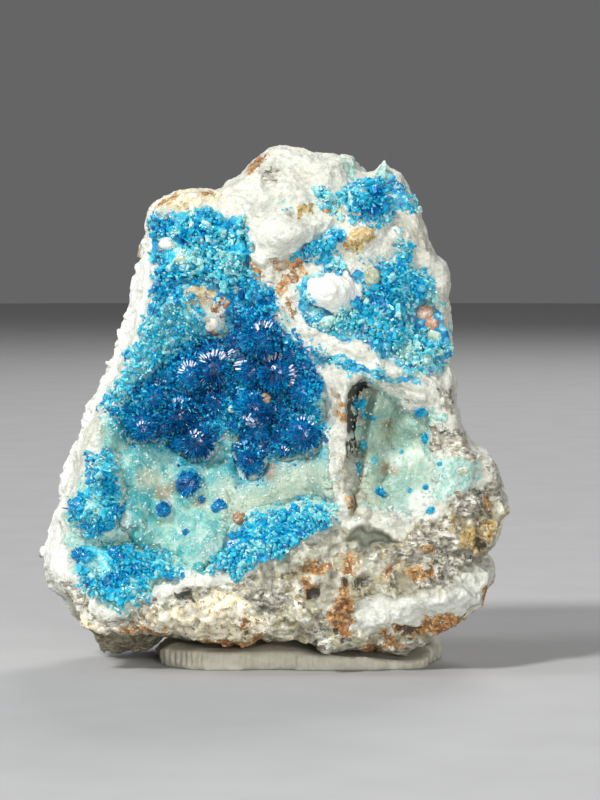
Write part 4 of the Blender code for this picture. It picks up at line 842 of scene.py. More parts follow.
def druse_material():
    """Translucent crust of tiny aqua crystals, with teal, paler and brown-tinged parts, the brown in part
    painted shade.
    """
    made, tree, shader, place = blank("aqua_druse")
    fine = mixed_grain(tree, place, 0.3)
    medium = mixed_grain(tree, place, 0.8)
    broad = grain(tree, place, 3.2, 2.0)
    beige, brown_and_shade, pale = channels(tree, mark(tree, "tones", "Color"))
    colour = ramp(
        tree, broad, (0.35, (0.06, 0.38, 0.39)), (0.5, (0.15, 0.47, 0.44)), (0.65, (0.30, 0.57, 0.47))
    )
    colour = flecked(tree, colour, medium, 0.5, 0.8, 0.7, (0.50, 0.67, 0.55))
    colour = flecked(tree, colour, medium, 0.42, 0.15, 0.7, (0.05, 0.38, 0.42))
    colour = flecked(tree, colour, fine, 0.3, 0.1, 0.5, (0.10, 0.32, 0.30))
    teal = ramp(
        tree, fine, (0.15, (0.0, 0.16, 0.24)), (0.5, (0.01, 0.36, 0.46)), (0.85, (0.20, 0.58, 0.60))
    )
    for share, over in (
        (beige, (0.52, 0.55, 0.40)),
        (mark(tree, "teal"), teal),
        (brown_and_shade, (0.34, 0.2, 0.09)),
        (pale, (0.76, 0.80, 0.71)),
        (levels(tree, fine, 0.8, 0.92), (0.86, 0.90, 0.86)),
    ):
        colour = blended(tree, share, colour, over)
    rough = levels(tree, grains(tree, place, 0.22), 0.0, 1.0, 0.1, 0.42)
    feed(tree, shader, {"Base Color": colour, "Roughness": rough, "IOR": 1.55})
    feed(tree, shader, scatter(0.5, (0.5, 0.9, 0.8), 0.9))
    bumped(tree, shader, plus(tree, fine, grain(tree, place, 0.15, 3.0)), 0.07)
    return made


def clear_material():
    """Loose clear crystals of the druse, faintly aqua."""
    made, tree, shader, place = blank("clear_aqua_crystal")
    broad = grain(tree, place, 1.5, 2.0)
    colour = ramp(tree, broad, (0.35, (0.50, 0.80, 0.74)), (0.65, (0.82, 0.92, 0.86)))
    rough = levels(tree, grain(tree, place, 0.4), 0.3, 0.7, 0.1, 0.3)
    feed(tree, shader, {"Base Color": colour, "Roughness": rough, "IOR": 1.5, "Transmission Weight": 0.25})
    return made


def blue_material():
    """Blue crystals, from nearly black in the rosettes to bright azure in the thin crusts."""
    made, tree, shader, place = blank("veszelyite_blue")
    cell = levels(tree, mixed_grain(tree, place, 0.3), 0.1, 0.9, -0.16, 0.16)
    colour = ramp(
        tree, plus(tree, mark(tree, "tint"), cell),
        (0.0, (0.0, 0.012, 0.055)), (0.16, (0.0, 0.05, 0.18)), (0.34, (0.0, 0.13, 0.38)),
        (0.5, (0.0, 0.25, 0.54)), (0.64, (0.0, 0.41, 0.66)), (0.78, (0.05, 0.54, 0.69)),
        (0.9, (0.20, 0.65, 0.69)), (1.0, (0.52, 0.79, 0.74)),
    )
    rough = levels(tree, grain(tree, place, 0.3), 0.3, 0.7, 0.12, 0.34)
    feed(tree, shader, {"Base Color": colour, "Roughness": rough, "IOR": BLUE_IOR})
    feed(tree, shader, scatter(0.2, (0.2, 0.7, 1.0), 0.35))
    bumped(tree, shader, grain(tree, place, 0.12, 3.0), 0.02)
    return made


def painted_glint_material():
    """Narrow faces of the blades in a pale lilac grey that is a painted highlight, glossy so they also
    throw the light back.
    """
    made, tree, shader, place = blank("painted_glint_blade_face")
    fine = grain(tree, place, 0.25, 3.0)
    colour = ramp(tree, fine, (0.35, (0.26, 0.31, 0.46)), (0.6, (0.45, 0.47, 0.60)))
    rough = levels(tree, grain(tree, place, 0.2), 0.3, 0.7, 0.3, 0.5)
    feed(tree, shader, {"Base Color": colour, "Roughness": rough, "IOR": BLUE_IOR})
    return made


def nodule_material():
    """Waxy grains of other minerals, in the colours marked on the mesh."""
    made, tree, shader, place = blank("mineral_grains")
    fine = mixed_grain(tree, place, 0.22)
    colour = flecked(tree, mark(tree, "own", "Color"), fine, 0.5, 0.15, 0.75, (0.25, 0.16, 0.08))
    colour = flecked(tree, colour, fine, 0.55, 0.9, 0.8, (0.84, 0.84, 0.76))
    feed(tree, shader, {"Base Color": colour, "Roughness": levels(tree, fine, 0.2, 0.8, 0.2, 0.5)})
    feed(tree, shader, scatter(0.3, (0.7, 0.6, 0.4), 0.5))
    bumped(tree, shader, fine, 0.06)
    return made


def putty_material():
    """Matt cream putty, a little translucent, with faint stains."""
    made, tree, shader, place = blank("putty")
    fine = grain(tree, place, 0.6, 4.0)
    colour = ramp(
        tree, fine, (0.25, (0.43, 0.41, 0.31)), (0.5, (0.52, 0.50, 0.40)), (0.8, (0.60, 0.58, 0.48))
    )
    feed(tree, shader, {"Base Color": colour, "Roughness": levels(tree, fine, 0.3, 0.7, 0.45, 0.65)})
    feed(tree, shader, scatter(0.2, (1.0, 0.8, 0.5), 0.8))
    bumped(tree, shader, grain(tree, place, 0.2, 3.0), 0.03)
    return made


def floor_material():
    """Pale matt floor, its grey a little uneven."""
    made, tree, shader, place = blank("pale_floor")
    colour = ramp(tree, grain(tree, place, 9.0, 2.0), (0.3, (0.44, 0.44, 0.44)), (0.7, (0.47, 0.47, 0.47)))
    feed(tree, shader, {"Base Color": colour, "Roughness": 0.8})
    return made


# Crystals

# A crystal's root is this share of its full width
ROOT_WIDTH = 0.75


def crystal_shape(sides, shoulder, ridge, turn=0.0):
    """A crystal along +Z from 0 to 1, half a unit in radius, with a pointed or chisel-shaped end."""
    angles = (np.arange(sides) + turn) * math.tau / sides
    ring = np.stack([0.5 * np.cos(angles), 0.5 * np.sin(angles)], axis=1)
    low = np.hstack([ring * ROOT_WIDTH, np.zeros((sides, 1))])
    high = np.hstack([ring, np.full((sides, 1), shoulder)])
    tips = np.array([[ridge, 0.0, 1.0], [-ridge, 0.0, 1.0]] if ridge else [[0.0, 0.0, 1.0]])
    points = np.vstack([low, high, tips])
    # A side that looks toward -X ends in the second tip, where there is one
    toward = np.round(np.cos(angles + math.pi / sides), 6)
    own_tips = [2 * sides + int(ridge > 0.0 and across < 0.0) for across in toward]
    faces = [(0, k + 1, k) for k in range(1, sides - 1)]
    for k in range(sides):
        after = (k + 1) % sides
        faces += [(k, after, sides + after), (k, sides + after, sides + k)]
        faces.append((sides + k, sides + after, own_tips[k]))
        if own_tips[k] != own_tips[after]:
            faces.append((sides + after, own_tips[after], own_tips[k]))
    return points, np.array(faces)


BLADE = crystal_shape(4, 0.8, 0.2, 0.5)
STUB = crystal_shape(4, 0.72, 0.0, 0.5)
PRISM = crystal_shape(6, 0.72, 0.0)


def unit(vectors):
    """The vectors at a length of one."""
    return vectors / np.maximum(np.linalg.norm(vectors, axis=1, keepdims=True), 1e-9)


def placed_crystals(shape, roots, axes, wide, thick, long, guides):
    """Copies of one crystal, each at its root along its axis, its width toward its guide."""
    points, faces = shape
    axes = unit(axes)
    other = unit(np.cross(axes, guides))
    turned = np.cross(other, axes)
    places = (
        roots[:, None]
        + points[None, :, :1] * (wide[:, None] * turned)[:, None]
        + points[None, :, 1:2] * (thick[:, None] * other)[:, None]
        + points[None, :, 2:] * (long[:, None] * axes)[:, None]
    )
    starts = np.arange(len(roots))[:, None, None] * len(points)
    return places.reshape(-1, 3), (faces[None] + starts).reshape(-1, 3)


# The brightest tint, how much paler a crystal's tip is than its root, and how far up it has its own tint
TOP_TINT = 0.98
TIP_PALER = 0.12
OWN_TINT_AT = 0.6


class Growth:
    """Crystals gathered for one piece, each with its tint. Spots are X, Z, radius and a change of tint."""

    def __init__(self, spots=()):
        self.spots = spots
        self.places = []
        self.faces = []
        self.tints = []
        self.count = 0

    def add(self, shape, roots, axes, wide, thick, long, guides, tint):
        """Crystals whose tint pales from root to tip."""
        places, faces = placed_crystals(shape, roots, axes, wide, thick, long, guides)
        tints = tint[:, None] + TIP_PALER * (shape[0][None, :, 2] - OWN_TINT_AT)
        self.merge(places, faces, np.clip(tints, 0.0, TOP_TINT).ravel())

    def merge(self, places, faces, tints):
        """A mesh with its tints, which the spots change."""
        for x, z, radius, change in self.spots:
            away = ((places[:, 0] - x) ** 2 + (places[:, 2] - z) ** 2) / radius**2
            tints = np.clip(tints + change * np.exp(-away), 0.0, TOP_TINT)
        self.places.append(places)
        self.faces.append(faces + self.count)
        self.tints.append(tints)
        self.count += len(places)

    def make(self, name, material, slot, nodes=(), tinted=True):
        """Makes the piece, with flat faces, and returns its places and faces."""
        places = np.vstack(self.places)
        faces = np.vstack(self.faces)
        marks = {"tint": np.concatenate(self.tints)} if tinted else {}
        add_piece(name, places, faces, material, slot, nodes, smooth=False, **marks)
        return places, faces


# Crystals overstep the ragged edge of their field by this much, and are drawn from a box this much wider
FIELD_MARGIN = 0.25
BOX_MARGIN = 0.3
# Growth drops onto the ground along +Y from this far in front, and none takes hold behind this depth
DROP_START = -40.0
DEEPEST_HOLD = 7.0


def sprinkled(rng, outline, density):
    """Random X and Z inside an outline, at a number to each square millimetre."""
    corners = np.array(outline)
    low, high = corners.min(axis=0) - BOX_MARGIN, corners.max(axis=0) + BOX_MARGIN
    count = int(np.prod(high - low) * density)
    points = rng.uniform(low, high, (count, 2))
    lifted = np.stack([points[:, 0], np.zeros(count), points[:, 1]], axis=1)
    return points[depth_inside(wandered(lifted, seed=31), outline) > -FIELD_MARGIN]


def settled(ground, points):
    """Where points seen from the front meet the ground, and its outward direction there."""
    places, normals = [], []
    for x, z in points:
        hit, normal, *_ = ground.ray_cast(Vector((x, DROP_START, z)), Vector((0.0, 1.0, 0.0)))
        if hit is not None and hit.y < DEEPEST_HOLD:
            places.append(hit[:])
            normals.append(normal[:])
    return np.array(places).reshape(-1, 3), np.array(normals).reshape(-1, 3)


# What a crystal of a tuft leans along: the ground's own direction, the way out of the tuft, at random, and
# the way to the viewer
ALONG_GROUND = 0.7
OUT_OF_TUFT = 1.6
AT_RANDOM = 0.25
TO_VIEWER = [0.0, -0.4, 0.0]
# Share of a crystal's length that is sunk into the ground
SUNK_SHARE = 0.4
# How much the tint changes from tuft to tuft, from place to place and from crystal to crystal
TUFT_TINTS = 0.32
PLACE_TINTS = 0.1
CRYSTAL_TINTS = 0.08


def add_tufts(growth, rng, ground, outline, density, spread, size, tint, shape=STUB, flat=0.7, stretch=1.0):
    """Small crystals that lean out from the middle of each tuft."""
    places, normals = settled(ground, sprinkled(rng, outline, density))
    if not len(places):
        return
    count = len(places)
    way, numbers = nearest_seed(places, spread, seed=21)
    lean = rng.normal(0.0, AT_RANDOM, (count, 3))
    axes = ALONG_GROUND * normals + OUT_OF_TUFT * way / spread + lean + TO_VIEWER
    share = np.linalg.norm(way, axis=1) / spread
    long = size * stretch * rng.uniform(1.8, 3.6, count) * (1.2 - 0.6 * share) * (0.7 + 0.6 * numbers[:, 1])
    wide = size * rng.uniform(0.6, 1.3, count)
    thick = wide * flat * rng.uniform(0.6, 1.0, count)
    roots = places - unit(axes) * (SUNK_SHARE * long[:, None])
    shade = tint + TUFT_TINTS * (numbers[:, 0] - 0.5) + PLACE_TINTS * soft_noise(places, 1.7, 22, 2)
    shade = shade + rng.normal(0.0, CRYSTAL_TINTS, count)
    growth.add(shape, roots, axes, wide, thick, long, rng.normal(0.0, 1.0, (count, 3)), shade)


def add_crust(growth, rng, ground, outline, size, tint, coarse=0.0):
    """An azure crust: stout crystals over a growth of small ones. Coarse is a number to each square mm."""
    if coarse:
        add_tufts(growth, rng, ground, outline, coarse, 1.9, 1.9 * size, tint, BLADE, 0.8, 0.45)
    small = 15 if coarse else 12
    add_tufts(growth, rng, ground, outline, small, 0.8, 0.66 * size, tint + 0.06, STUB, 0.8, 0.75)
    add_tufts(growth, rng, ground, outline, 5, 1.3, 1.1 * size, tint + 0.02, BLADE, 0.65, 0.55)


def ball_shape():
    """A unit ball as points and triangles."""
    bm = bmesh.new()
    bmesh.ops.create_icosphere(bm, subdivisions=3, radius=1.0)
    bm.verts.index_update()
    points = np.array([vert.co[:] for vert in bm.verts])
    faces = np.array([[vert.index for vert in face.verts] for face in bm.faces])
    bm.free()
    return points, faces


BALL = ball_shape()


# Blades of a rosette: number to each unit of area over their width, the fewest, the angle from one to the
# next, and how far they reach round the ball, from 0 at its front to 2 at its back
BLADE_DENSITY = 27.0
FEWEST_BLADES = 30
BLADE_TURN = 2.399963
BLADE_COVER = 1.3
# The solid middle of a rosette is darker than its blades by this much, and no darker than this tint
CORE_DARKER = 0.14
DARKEST_CORE = 0.02


def add_rosette(growth, rng, ground, x, z, radius, tint, blade=0.3, solid=0.76):
    """A ball of blades that stand out from its middle like pages, over the side turned to the viewer."""
    places, _ = settled(ground, [(x, z)])
    if not len(places):
        return
    centre = places[0] + np.array([0.0, 0.5 * radius, 0.0])
    tint = tint + rng.normal(0.0, 0.05)
    core = BALL[0] * (solid + 0.06 * soft_noise(BALL[0] * radius + centre, 0.5, 17)[:, None]) * radius
    growth.merge(core + centre, BALL[1], np.full(len(core), max(tint - CORE_DARKER, DARKEST_CORE)))
    count = int(BLADE_DENSITY * radius**2 / blade) + FEWEST_BLADES
    k = np.arange(count)
    height = 1.0 - BLADE_COVER * (k + 0.5) / count
    turn = k * BLADE_TURN
    around = np.sqrt(np.maximum(0.0, 1.0 - height**2))
    axes = np.stack([around * np.cos(turn), -height, around * np.sin(turn)], axis=1)
    axes = unit(axes + rng.normal(0.0, 0.07, (count, 3)))
    tips = axes * radius + centre
    long = radius * (rng.uniform(0.88, 1.02, count) + 0.06 * soft_noise(tips, 0.6, 18, 2))
    wide = blade * rng.uniform(0.9, 1.9, count)
    thick = blade * rng.uniform(0.28, 0.5, count)
    guides = [0.0, -1.0, 0.0] + rng.normal(0.0, 0.3, (count, 3))
    shade = tint + rng.normal(0.0, CRYSTAL_TINTS, count) + PLACE_TINTS * soft_noise(tips, 0.9, 19, 2)
    growth.add(BLADE, np.repeat(centre[None], count, axis=0), axes, wide, thick, long, guides, shade)


# Rows of blade faces on the rosettes, painted pale as highlights: X and Z of the row's centre, its radius,
# its first and last direction in degrees, the number of faces and their length
GLINT_ROWS = [
    (-4.5, 23.2, 1.1, 38, 150, 18, 0.75), (-4.6, 23.3, 1.9, -4, 44, 11, 1.0),
    (-0.8, 25.3, 1.3, 62, 118, 10, 0.7), (0.1, 23.0, 1.1, 60, 132, 11, 0.6),
    (0.3, 22.6, 1.2, -46, 40, 14, 0.5), (-6.3, 22.7, 0.8, 70, 172, 9, 0.55),
    (-2.2, 18.6, 0.8, 5, 95, 12, 0.3), (-2.2, 18.4, 1.2, 10, 90, 14, 0.3),
    (-2.0, 18.6, 0.4, 10, 120, 7, 0.3), (-7.3, 19.9, 0.8, 60, 125, 7, 0.35),
    (0.7, 16.6, 0.5, 35, 95, 4, 0.3), (-7.0, 14.3, 0.85, 95, 150, 6, 0.4),
    (-10.0, 18.2, 0.8, 60, 120, 5, 0.3), (2.2, 18.4, 1.0, 40, 110, 6, 0.3),
    (-6.0, 17.4, 0.9, 50, 110, 6, 0.35), (-8.4, 21.4, 0.8, 80, 140, 6, 0.3),
    (-6.4, 24.6, 0.9, 70, 130, 7, 0.5),
]
# Halfway between the way to the viewer and the way to the main light
GLINT_FACING = unit(np.array([[-0.26, -0.88, 0.41]]))[0]
# How thick the faces are, and how far they stand off the blades under them
GLINT_THICK = 0.05
GLINT_LIFT = 0.12


def add_glints(growth, rng, ground):
    """Thin laths that lie along the rows, each turned so that its face catches the light."""
    laths = []
    for x, z, radius, first, last, count, length in GLINT_ROWS:
        for angle in np.radians(np.linspace(first, last, count) + rng.normal(0.0, 2.0, count)):
            way = np.array([math.cos(angle), 0.0, math.sin(angle)])
            spot = np.array([x, z]) + way[[0, 2]] * radius * rng.uniform(0.86, 1.12)
            laths.append((spot, way, length * rng.uniform(0.6, 1.0)))
    for spot, way, length in laths:
        places, _ = settled(ground, [spot])
        if not len(places):
            continue
        facing = unit(GLINT_FACING[None] + rng.normal(0.0, 0.06, (1, 3)))
        axis = unit(way[None] - facing * (facing @ way))
        start = places - axis * 0.5 * length + [0.0, -GLINT_LIFT, 0.0]
        wide = np.array([rng.uniform(0.13, 0.22)])
        thick, long = np.array([GLINT_THICK]), np.array([length])
        growth.add(BLADE, start, axis, wide, thick, long, np.cross(axis, facing), np.zeros(1))


# Colours of the grains of other minerals
AMBER = (0.62, 0.43, 0.17)
PALE_GREEN = (0.46, 0.52, 0.36)
PINK = (0.62, 0.38, 0.27)
AQUA_TONE = (0.34, 0.64, 0.58)
MILKY = (0.74, 0.76, 0.70)
OLIVE = (0.47, 0.38, 0.20)
RUST_TONE = (0.36, 0.16, 0.06)
TEAL_TONE = (0.02, 0.32, 0.42)
CHALK = (0.80, 0.79, 0.70)
# The grains: X, Z, width, height, tilt in degrees, how far they stand out, in halves of the smaller of
# width and height, and colour
NODULES = [
    (6.53, 33.2, 2.4, 1.35, 24, 0.5, AMBER), (6.9, 33.5, 1.1, 0.9, 24, 0.75, (0.74, 0.62, 0.38)),
    (7.4, 30.1, 1.6, 1.5, 0, 0.55, PALE_GREEN), (7.3, 29.5, 1.1, 0.8, -10, 0.4, OLIVE),
    (11.55, 27.3, 1.5, 1.5, 0, 0.6, PINK), (12.05, 26.45, 1.2, 1.2, 20, 0.55, (0.56, 0.28, 0.18)),
    (12.4, 25.6, 1.7, 1.2, -20, 0.4, (0.45, 0.60, 0.46)), (10.1, 24.4, 1.4, 1.2, 30, 0.4, AQUA_TONE),
    (4.0, 26.7, 1.7, 1.0, 20, 0.35, AQUA_TONE), (-8.1, 32.6, 1.5, 1.1, 10, 0.5, MILKY),
    (-6.7, 31.45, 1.6, 0.8, 0, 0.4, PALE_GREEN), (-6.5, 30.0, 0.9, 0.9, 0, 0.5, MILKY),
    (-5.9, 28.8, 2.6, 1.6, 10, 0.34, OLIVE), (-4.8, 28.7, 1.8, 1.5, -20, 0.3, (0.58, 0.46, 0.26)),
    (-2.6, 11.7, 1.25, 1.2, 0, 0.6, RUST_TONE), (-0.65, 20.8, 0.9, 0.95, 0, 0.6, (0.46, 0.27, 0.12)),
    (-3.9, 22.6, 0.5, 0.5, 0, 0.6, RUST_TONE), (0.4, 31.0, 1.7, 1.2, -10, 0.35, (0.40, 0.32, 0.22)),
    (-0.3, 29.5, 0.9, 0.7, 0, 0.35, MILKY), (12.8, 19.4, 1.2, 0.9, -10, 0.5, AQUA_TONE),
    (14.3, 15.5, 1.5, 1.1, 20, 0.35, (0.55, 0.66, 0.52)), (-9.2, 34.0, 1.25, 0.95, -40, 0.6, TEAL_TONE),
    (8.35, 37.9, 2.3, 0.8, 84, 0.4, AQUA_TONE), (-3.2, 20.0, 0.8, 0.7, 0, 0.4, AQUA_TONE),
    (1.5, 29.9, 1.2, 1.0, 10, 0.3, RUST_TONE), (-1.4, 30.9, 1.1, 0.9, -50, 0.3, RUST_TONE),
    (-4.7, 26.6, 1.6, 1.1, 62, 0.5, CHALK), (-4.0, 27.7, 1.5, 0.9, 58, 0.5, CHALK),
    (-3.6, 28.0, 0.9, 0.45, 58, 0.8, RUST_TONE), (-4.5, 25.9, 0.7, 0.4, 0, 0.8, RUST_TONE),
]
# Loose lumps scattered over the azure crusts: where, in which colours, how many to each square millimetre,
# and how far they stand out
LUMP_FIELDS = [UPPER_LEFT_FIELD, LEFT_EDGE_FIELD, UPPER_RIGHT_FIELD, TOP_RIGHT_FIELD, SIDE_STRIPE_FIELD]
LUMP_COLOURS = [AQUA_TONE, (0.04, 0.45, 0.66), (0.02, 0.34, 0.62), (0.10, 0.54, 0.66), (0.03, 0.40, 0.56)]
LUMPS_PER_AREA = 0.9
LUMP_STANDS = 0.6
# Half the depth of a grain, as a share of its width or height, whichever is less
HALF_DEPTH = 0.4


def loose_lumps(rng):
    """The scattered lumps, in the same form as the grains."""
    lumps = []
    for outline in LUMP_FIELDS:
        for x, z in sprinkled(rng, outline, LUMPS_PER_AREA):
            wide = rng.uniform(0.4, 0.95)
            colour = LUMP_COLOURS[rng.integers(len(LUMP_COLOURS))]
            high = wide * rng.uniform(0.55, 1.0)
            lumps.append((x, z, wide, high, rng.uniform(-90, 90), LUMP_STANDS, colour))
    return lumps


def nodules(rng, ground):
    """All the separate grains as one mesh, with each one's colour."""
    places, faces, colours = [], [], []
    for k, (x, z, wide, high, tilt, stands, colour) in enumerate(NODULES + loose_lumps(rng)):
        found, _ = settled(ground, [(x, z)])
        if not len(found):
            continue
        points = BALL[0] * (1.0 + 0.26 * (crags(BALL[0] + 9.0 * k, 0.8, 70, 1.0, 1.2) - 0.4))[:, None]
        least = min(wide, high)
        points = points * [0.5 * wide, HALF_DEPTH * least, 0.5 * high]
        turn = math.radians(tilt)
        across = points[:, 0] * math.cos(turn) - points[:, 2] * math.sin(turn)
        up = points[:, 0] * math.sin(turn) + points[:, 2] * math.cos(turn)
        centre = found[0] + [0.0, (HALF_DEPTH - 0.5 * stands) * least, 0.0]
        faces.append(BALL[1] + len(points) * len(places))
        places.append(np.stack([across, points[:, 1], up], axis=1) + centre)
        colours.append(np.repeat([colour], len(points), axis=0))
    return np.vstack(places), np.vstack(faces), np.vstack(colours)


# Surfaces

def tree_of(*surfaces):
    """One tree of all the surfaces, for finding where crystals stand."""
    places = np.vstack([s[0] for s in surfaces])
    starts = np.cumsum([0] + [len(s[0]) for s in surfaces[:-1]])
    faces = np.vstack([s[2] + start for s, start in zip(surfaces, starts)])
    return BVHTree.FromPolygons(places.tolist(), faces.tolist())


# Outlines of the crusts, which hide the rock under them
CRUST_FOOTPRINTS = [
    MAIN_FIELD, CURL_FIELD, LOWER_LEFT_FIELD, LOWER_MIDDLE_FIELD, UPPER_RIGHT_FIELD, TOP_RIGHT_FIELD,
    TOP_PATCH_FIELD, STREAK_FIELD, DRUSE_MAIN_FIELD, DRUSE_LEFT_FIELD, DRUSE_RIGHT_FIELD,
]
# Rock this far inside the outline of a crust is out of sight
HIDDEN_MARGIN = 0.9
# Faces whose direction has less than this along Y count as the face of the rock, and of a crust
ROCK_FACING = -0.12
CRUST_FACING = 0.2


def facing_viewer(middles, normals):
    """Faces of a crust seen from the front, wherever they are."""
    return normals[:, 1] < CRUST_FACING


def rock_in_view(middles, normals):
    """Faces of the rock seen from the front, apart from those well under a crust."""
    shown = normals[:, 1] < ROCK_FACING
    for outline in (MAIN_FIELD, DRUSE_MAIN_FIELD, DRUSE_RIGHT_FIELD):
        shown &= depth_inside(middles[:, [0, 2]], outline) < HIDDEN_MARGIN
    return shown


# Away from the viewer
BACKWARD = np.array([0.0, 1.0, 0.0])
# The face of the rock ends at this depth, and turns into its back over this much
FACE_END = -2.5
FACE_FADE = 4.0
# How clean the flank, the white block, and the chips and lips are
CLEAN_FLANK = 0.96
CLEAN_BLOCK = 0.88
CLEAN_CHIPS = 0.8
# Creases of the rock, the largest first: size in millimetres, seed, and peak and lean of their facets
BLOCKS = (6.0, 14, 0.8, 1.6)
LUMPS = (2.1, 11, 0.9, 1.0)
CREASES = (0.85, 12, 1.1, 1.8)
GRIT = (0.4, 13, 1.1, 1.8)
# Relief of the creases in millimetres
BLOCK_RELIEF = 1.2
LUMP_RELIEF = 0.36
CREASE_RELIEF = 0.3
GRIT_RELIEF = 0.18
# How rough the plain rock is, and how much rougher its stains make it
PLAIN_ROUGH = 0.7
ROUGHER = {"broken": 0.8, "ore": 0.3, "azure": 0.3}
# How far the clean chips, the ridge and the rock under a crust are raised, and the pits and crevice of
# painted shade and the hollows are let in
CHIP_LIFT = 0.4
RIDGE_LIFT = 0.3
CRUST_LIFT = 0.3
DARK_SINK = 0.45
HOLLOW_DEPTH = 1.6


def rock_stains_and_shades(places, normals, spots, share):
    """Share of each stain and painted shade at each place: from its outlines on the face, from bands and
    veins elsewhere.
    """
    bands = soft_noise(places * LAYERED, 3.4, 90, 3)
    veins = np.abs(soft_noise(places * LAYERED, 5.0, 95, 3))
    patches = soft_noise(places, 5.0, 98, 2)
    rust_veins = smoothstep((0.12 - veins) * 6.0) * smoothstep(1.4 * patches + 0.6)
    ochre_veins = smoothstep((0.2 - veins) * 4.0) * smoothstep(-1.6 * patches)
    far_top = smoothstep((normals[:, 2] - 0.3) * 3.0) * smoothstep((places[:, 1] + 4.5) / 2.0)
    flank = zone(spots, [FLANK], SHARP_EDGE) * smoothstep((7.0 - places[:, 1] + 2.0 * bands) / 5.0)
    rustless = (1.0 - far_top * smoothstep(0.5 - 1.2 * bands)) * (1.0 - 0.9 * flank)
    block = share([WHITE_BLOCK])
    chips = share(CHIPS + [RIDGE, LIP, LOWER_LIP])
    bright_chip = share([BRIGHT_CHIP], edge=SHARP_EDGE)
    return {
        "ore": share(GREY_ZONES, smoothstep((bands - 0.25) * 1.6)),
        "rust": share(RUST_ZONES, rust_veins) * rustless,
        "broken": share(BROKEN_FACE, smoothstep(0.55 - 1.2 * bands)),
        "ochre": share(OCHRE_ZONES, ochre_veins),
        "gap_shade": share(GAP_SHADE_ZONES),
        "aqua": share(AQUA_ZONES),
        "cream": share(CREAM_ZONES, smoothstep((-patches - 0.2) * 2.0)),
        "beige": share(BEIGE_ZONES, smoothstep((patches - 0.5) * 2.0)),
        "under": np.maximum(zone(spots, UNDER_ZONES), smoothstep((3.0 - places[:, 2]) / 3.0) * 0.6),
        "azure": share(AZURE_ZONES) * smoothstep((-0.1 - normals[:, 1]) / 0.3),
        "clean": np.maximum.reduce([
            bright_chip, CLEAN_FLANK * flank, CLEAN_BLOCK * block, CLEAN_CHIPS * chips,
        ]),
        # The pocket's green grey, darkened as painted shade
        "deep": share([POCKET], edge=SHARP_EDGE),
        "flank": flank,
        "block": block,
    }


def rock_relief(places, behind, hollow, found, share):
    """How far the rock is lifted at each place, and how deep in its creases it lies, from 0 to 1, for
    painted shade.
    """
    crusts = zone(places[:, [0, 2]], CRUST_FOOTPRINTS, SHARP_EDGE) * (1.0 - behind) * (1.0 - hollow)
    rough = PLAIN_ROUGH
    for kind, more in ROUGHER.items():
        rough = rough + more * found[kind]
    rough = rough - 0.3 * crusts + 0.5 * behind
    rough = rough * (1.0 - 0.3 * found["clean"]) * (1.0 - 0.6 * hollow)
    rough = rough + 0.5 * found["block"] + 0.3 * found["flank"]
    coarse = crags(places, *CREASES)
    fine = crags(places, *GRIT)
    lift = 0.1 + LUMP_RELIEF * (crags(places, *LUMPS) - 0.4)
    lift = lift + BLOCK_RELIEF * behind * (crags(places, *BLOCKS) - 0.4)
    lift += CREASE_RELIEF * rough * (coarse - 0.35) + GRIT_RELIEF * rough * (fine - 0.35)
    chips = share(CHIPS + [BRIGHT_CHIP], edge=SHARP_EDGE)
    lift += CRUST_LIFT * crusts - DARK_SINK * found["gap_shade"] + CHIP_LIFT * chips
    lift += RIDGE_LIFT * share([RIDGE]) * smoothstep(0.6 + soft_noise(places, 1.4, 96, 2))
    low, high = np.percentile(coarse + fine, (4, 55))
    return lift, 1.0 - smoothstep((coarse + fine - low) / (high - low))


def rock_surface():
    """The rock's own surface: creased and grainy, rougher in the ore, with the marks of its stains and
    painted shade.
    """
    places, normals, faces = remeshed("matrix", *ROCK_MESH, rock_in_view)
    spots = wandered(places, seed=3)
    behind = smoothstep((places[:, 1] - FACE_END) / FACE_FADE)

    def share(outlines, elsewhere=0.0, edge=ZONE_EDGE):
        """Share of some outlines on the face of the rock, and of something else behind it."""
        return zone(spots, outlines, edge) * (1.0 - behind) + elsewhere * behind

    found = rock_stains_and_shades(places, normals, spots, share)
    hollow = share(HOLLOWS, edge=0.6)
    lift, crease_shade = rock_relief(places, behind, hollow, found, share)
    cut_back = np.maximum(HOLLOW_DEPTH * hollow, hollowed(places) * (1.0 - behind))
    places = places + normals * lift[:, None] + BACKWARD * cut_back[:, None]
    marks = {name: np.stack([found[kind] for kind in kinds], axis=1) for name, kinds in STAINS_AND_SHADES.items()}
    marks["crease_shade"] = crease_shade
    return (places, normals, faces), marks


# The face of the rock is parted at this height
FACE_PARTED = 16.0


def directions_of(places, faces):
    """Outward direction at each place, from the faces around it."""
    first, second, third = (places[faces[:, corner]] for corner in range(3))
    run = np.cross(second - first, third - first)
    summed = np.zeros_like(places)
    for corner in range(3):
        for axis in range(3):
            summed[:, axis] += np.bincount(faces[:, corner], weights=run[:, axis], minlength=len(places))
    return unit(summed)


def add_rock(surface, marks):
    """The rock in three pieces that meet edge to edge: its back, and the two halves of its face."""
    places, before, faces = surface
    directions = directions_of(places, faces)
    back = before[faces].mean(axis=1)[:, 1] > ROCK_FACING
    high = places[faces].mean(axis=1)[:, 2] > FACE_PARTED
    for name, chosen in (("rock_back", back), ("rock_lower", ~back & ~high), ("rock_upper", ~back & high)):
        used, own = np.unique(faces[chosen], return_inverse=True)
        own_marks = {mark_name: values[used] for mark_name, values in marks.items()}
        made = add_piece(name, places[used], own.reshape(-1, 3), ROCK, "rock", ["matrix"], **own_marks)
        made.data.normals_split_custom_set_from_vertices(directions[used].tolist())


# How far a crust is thickened into the rock behind it
CRUST_SINK = 0.7


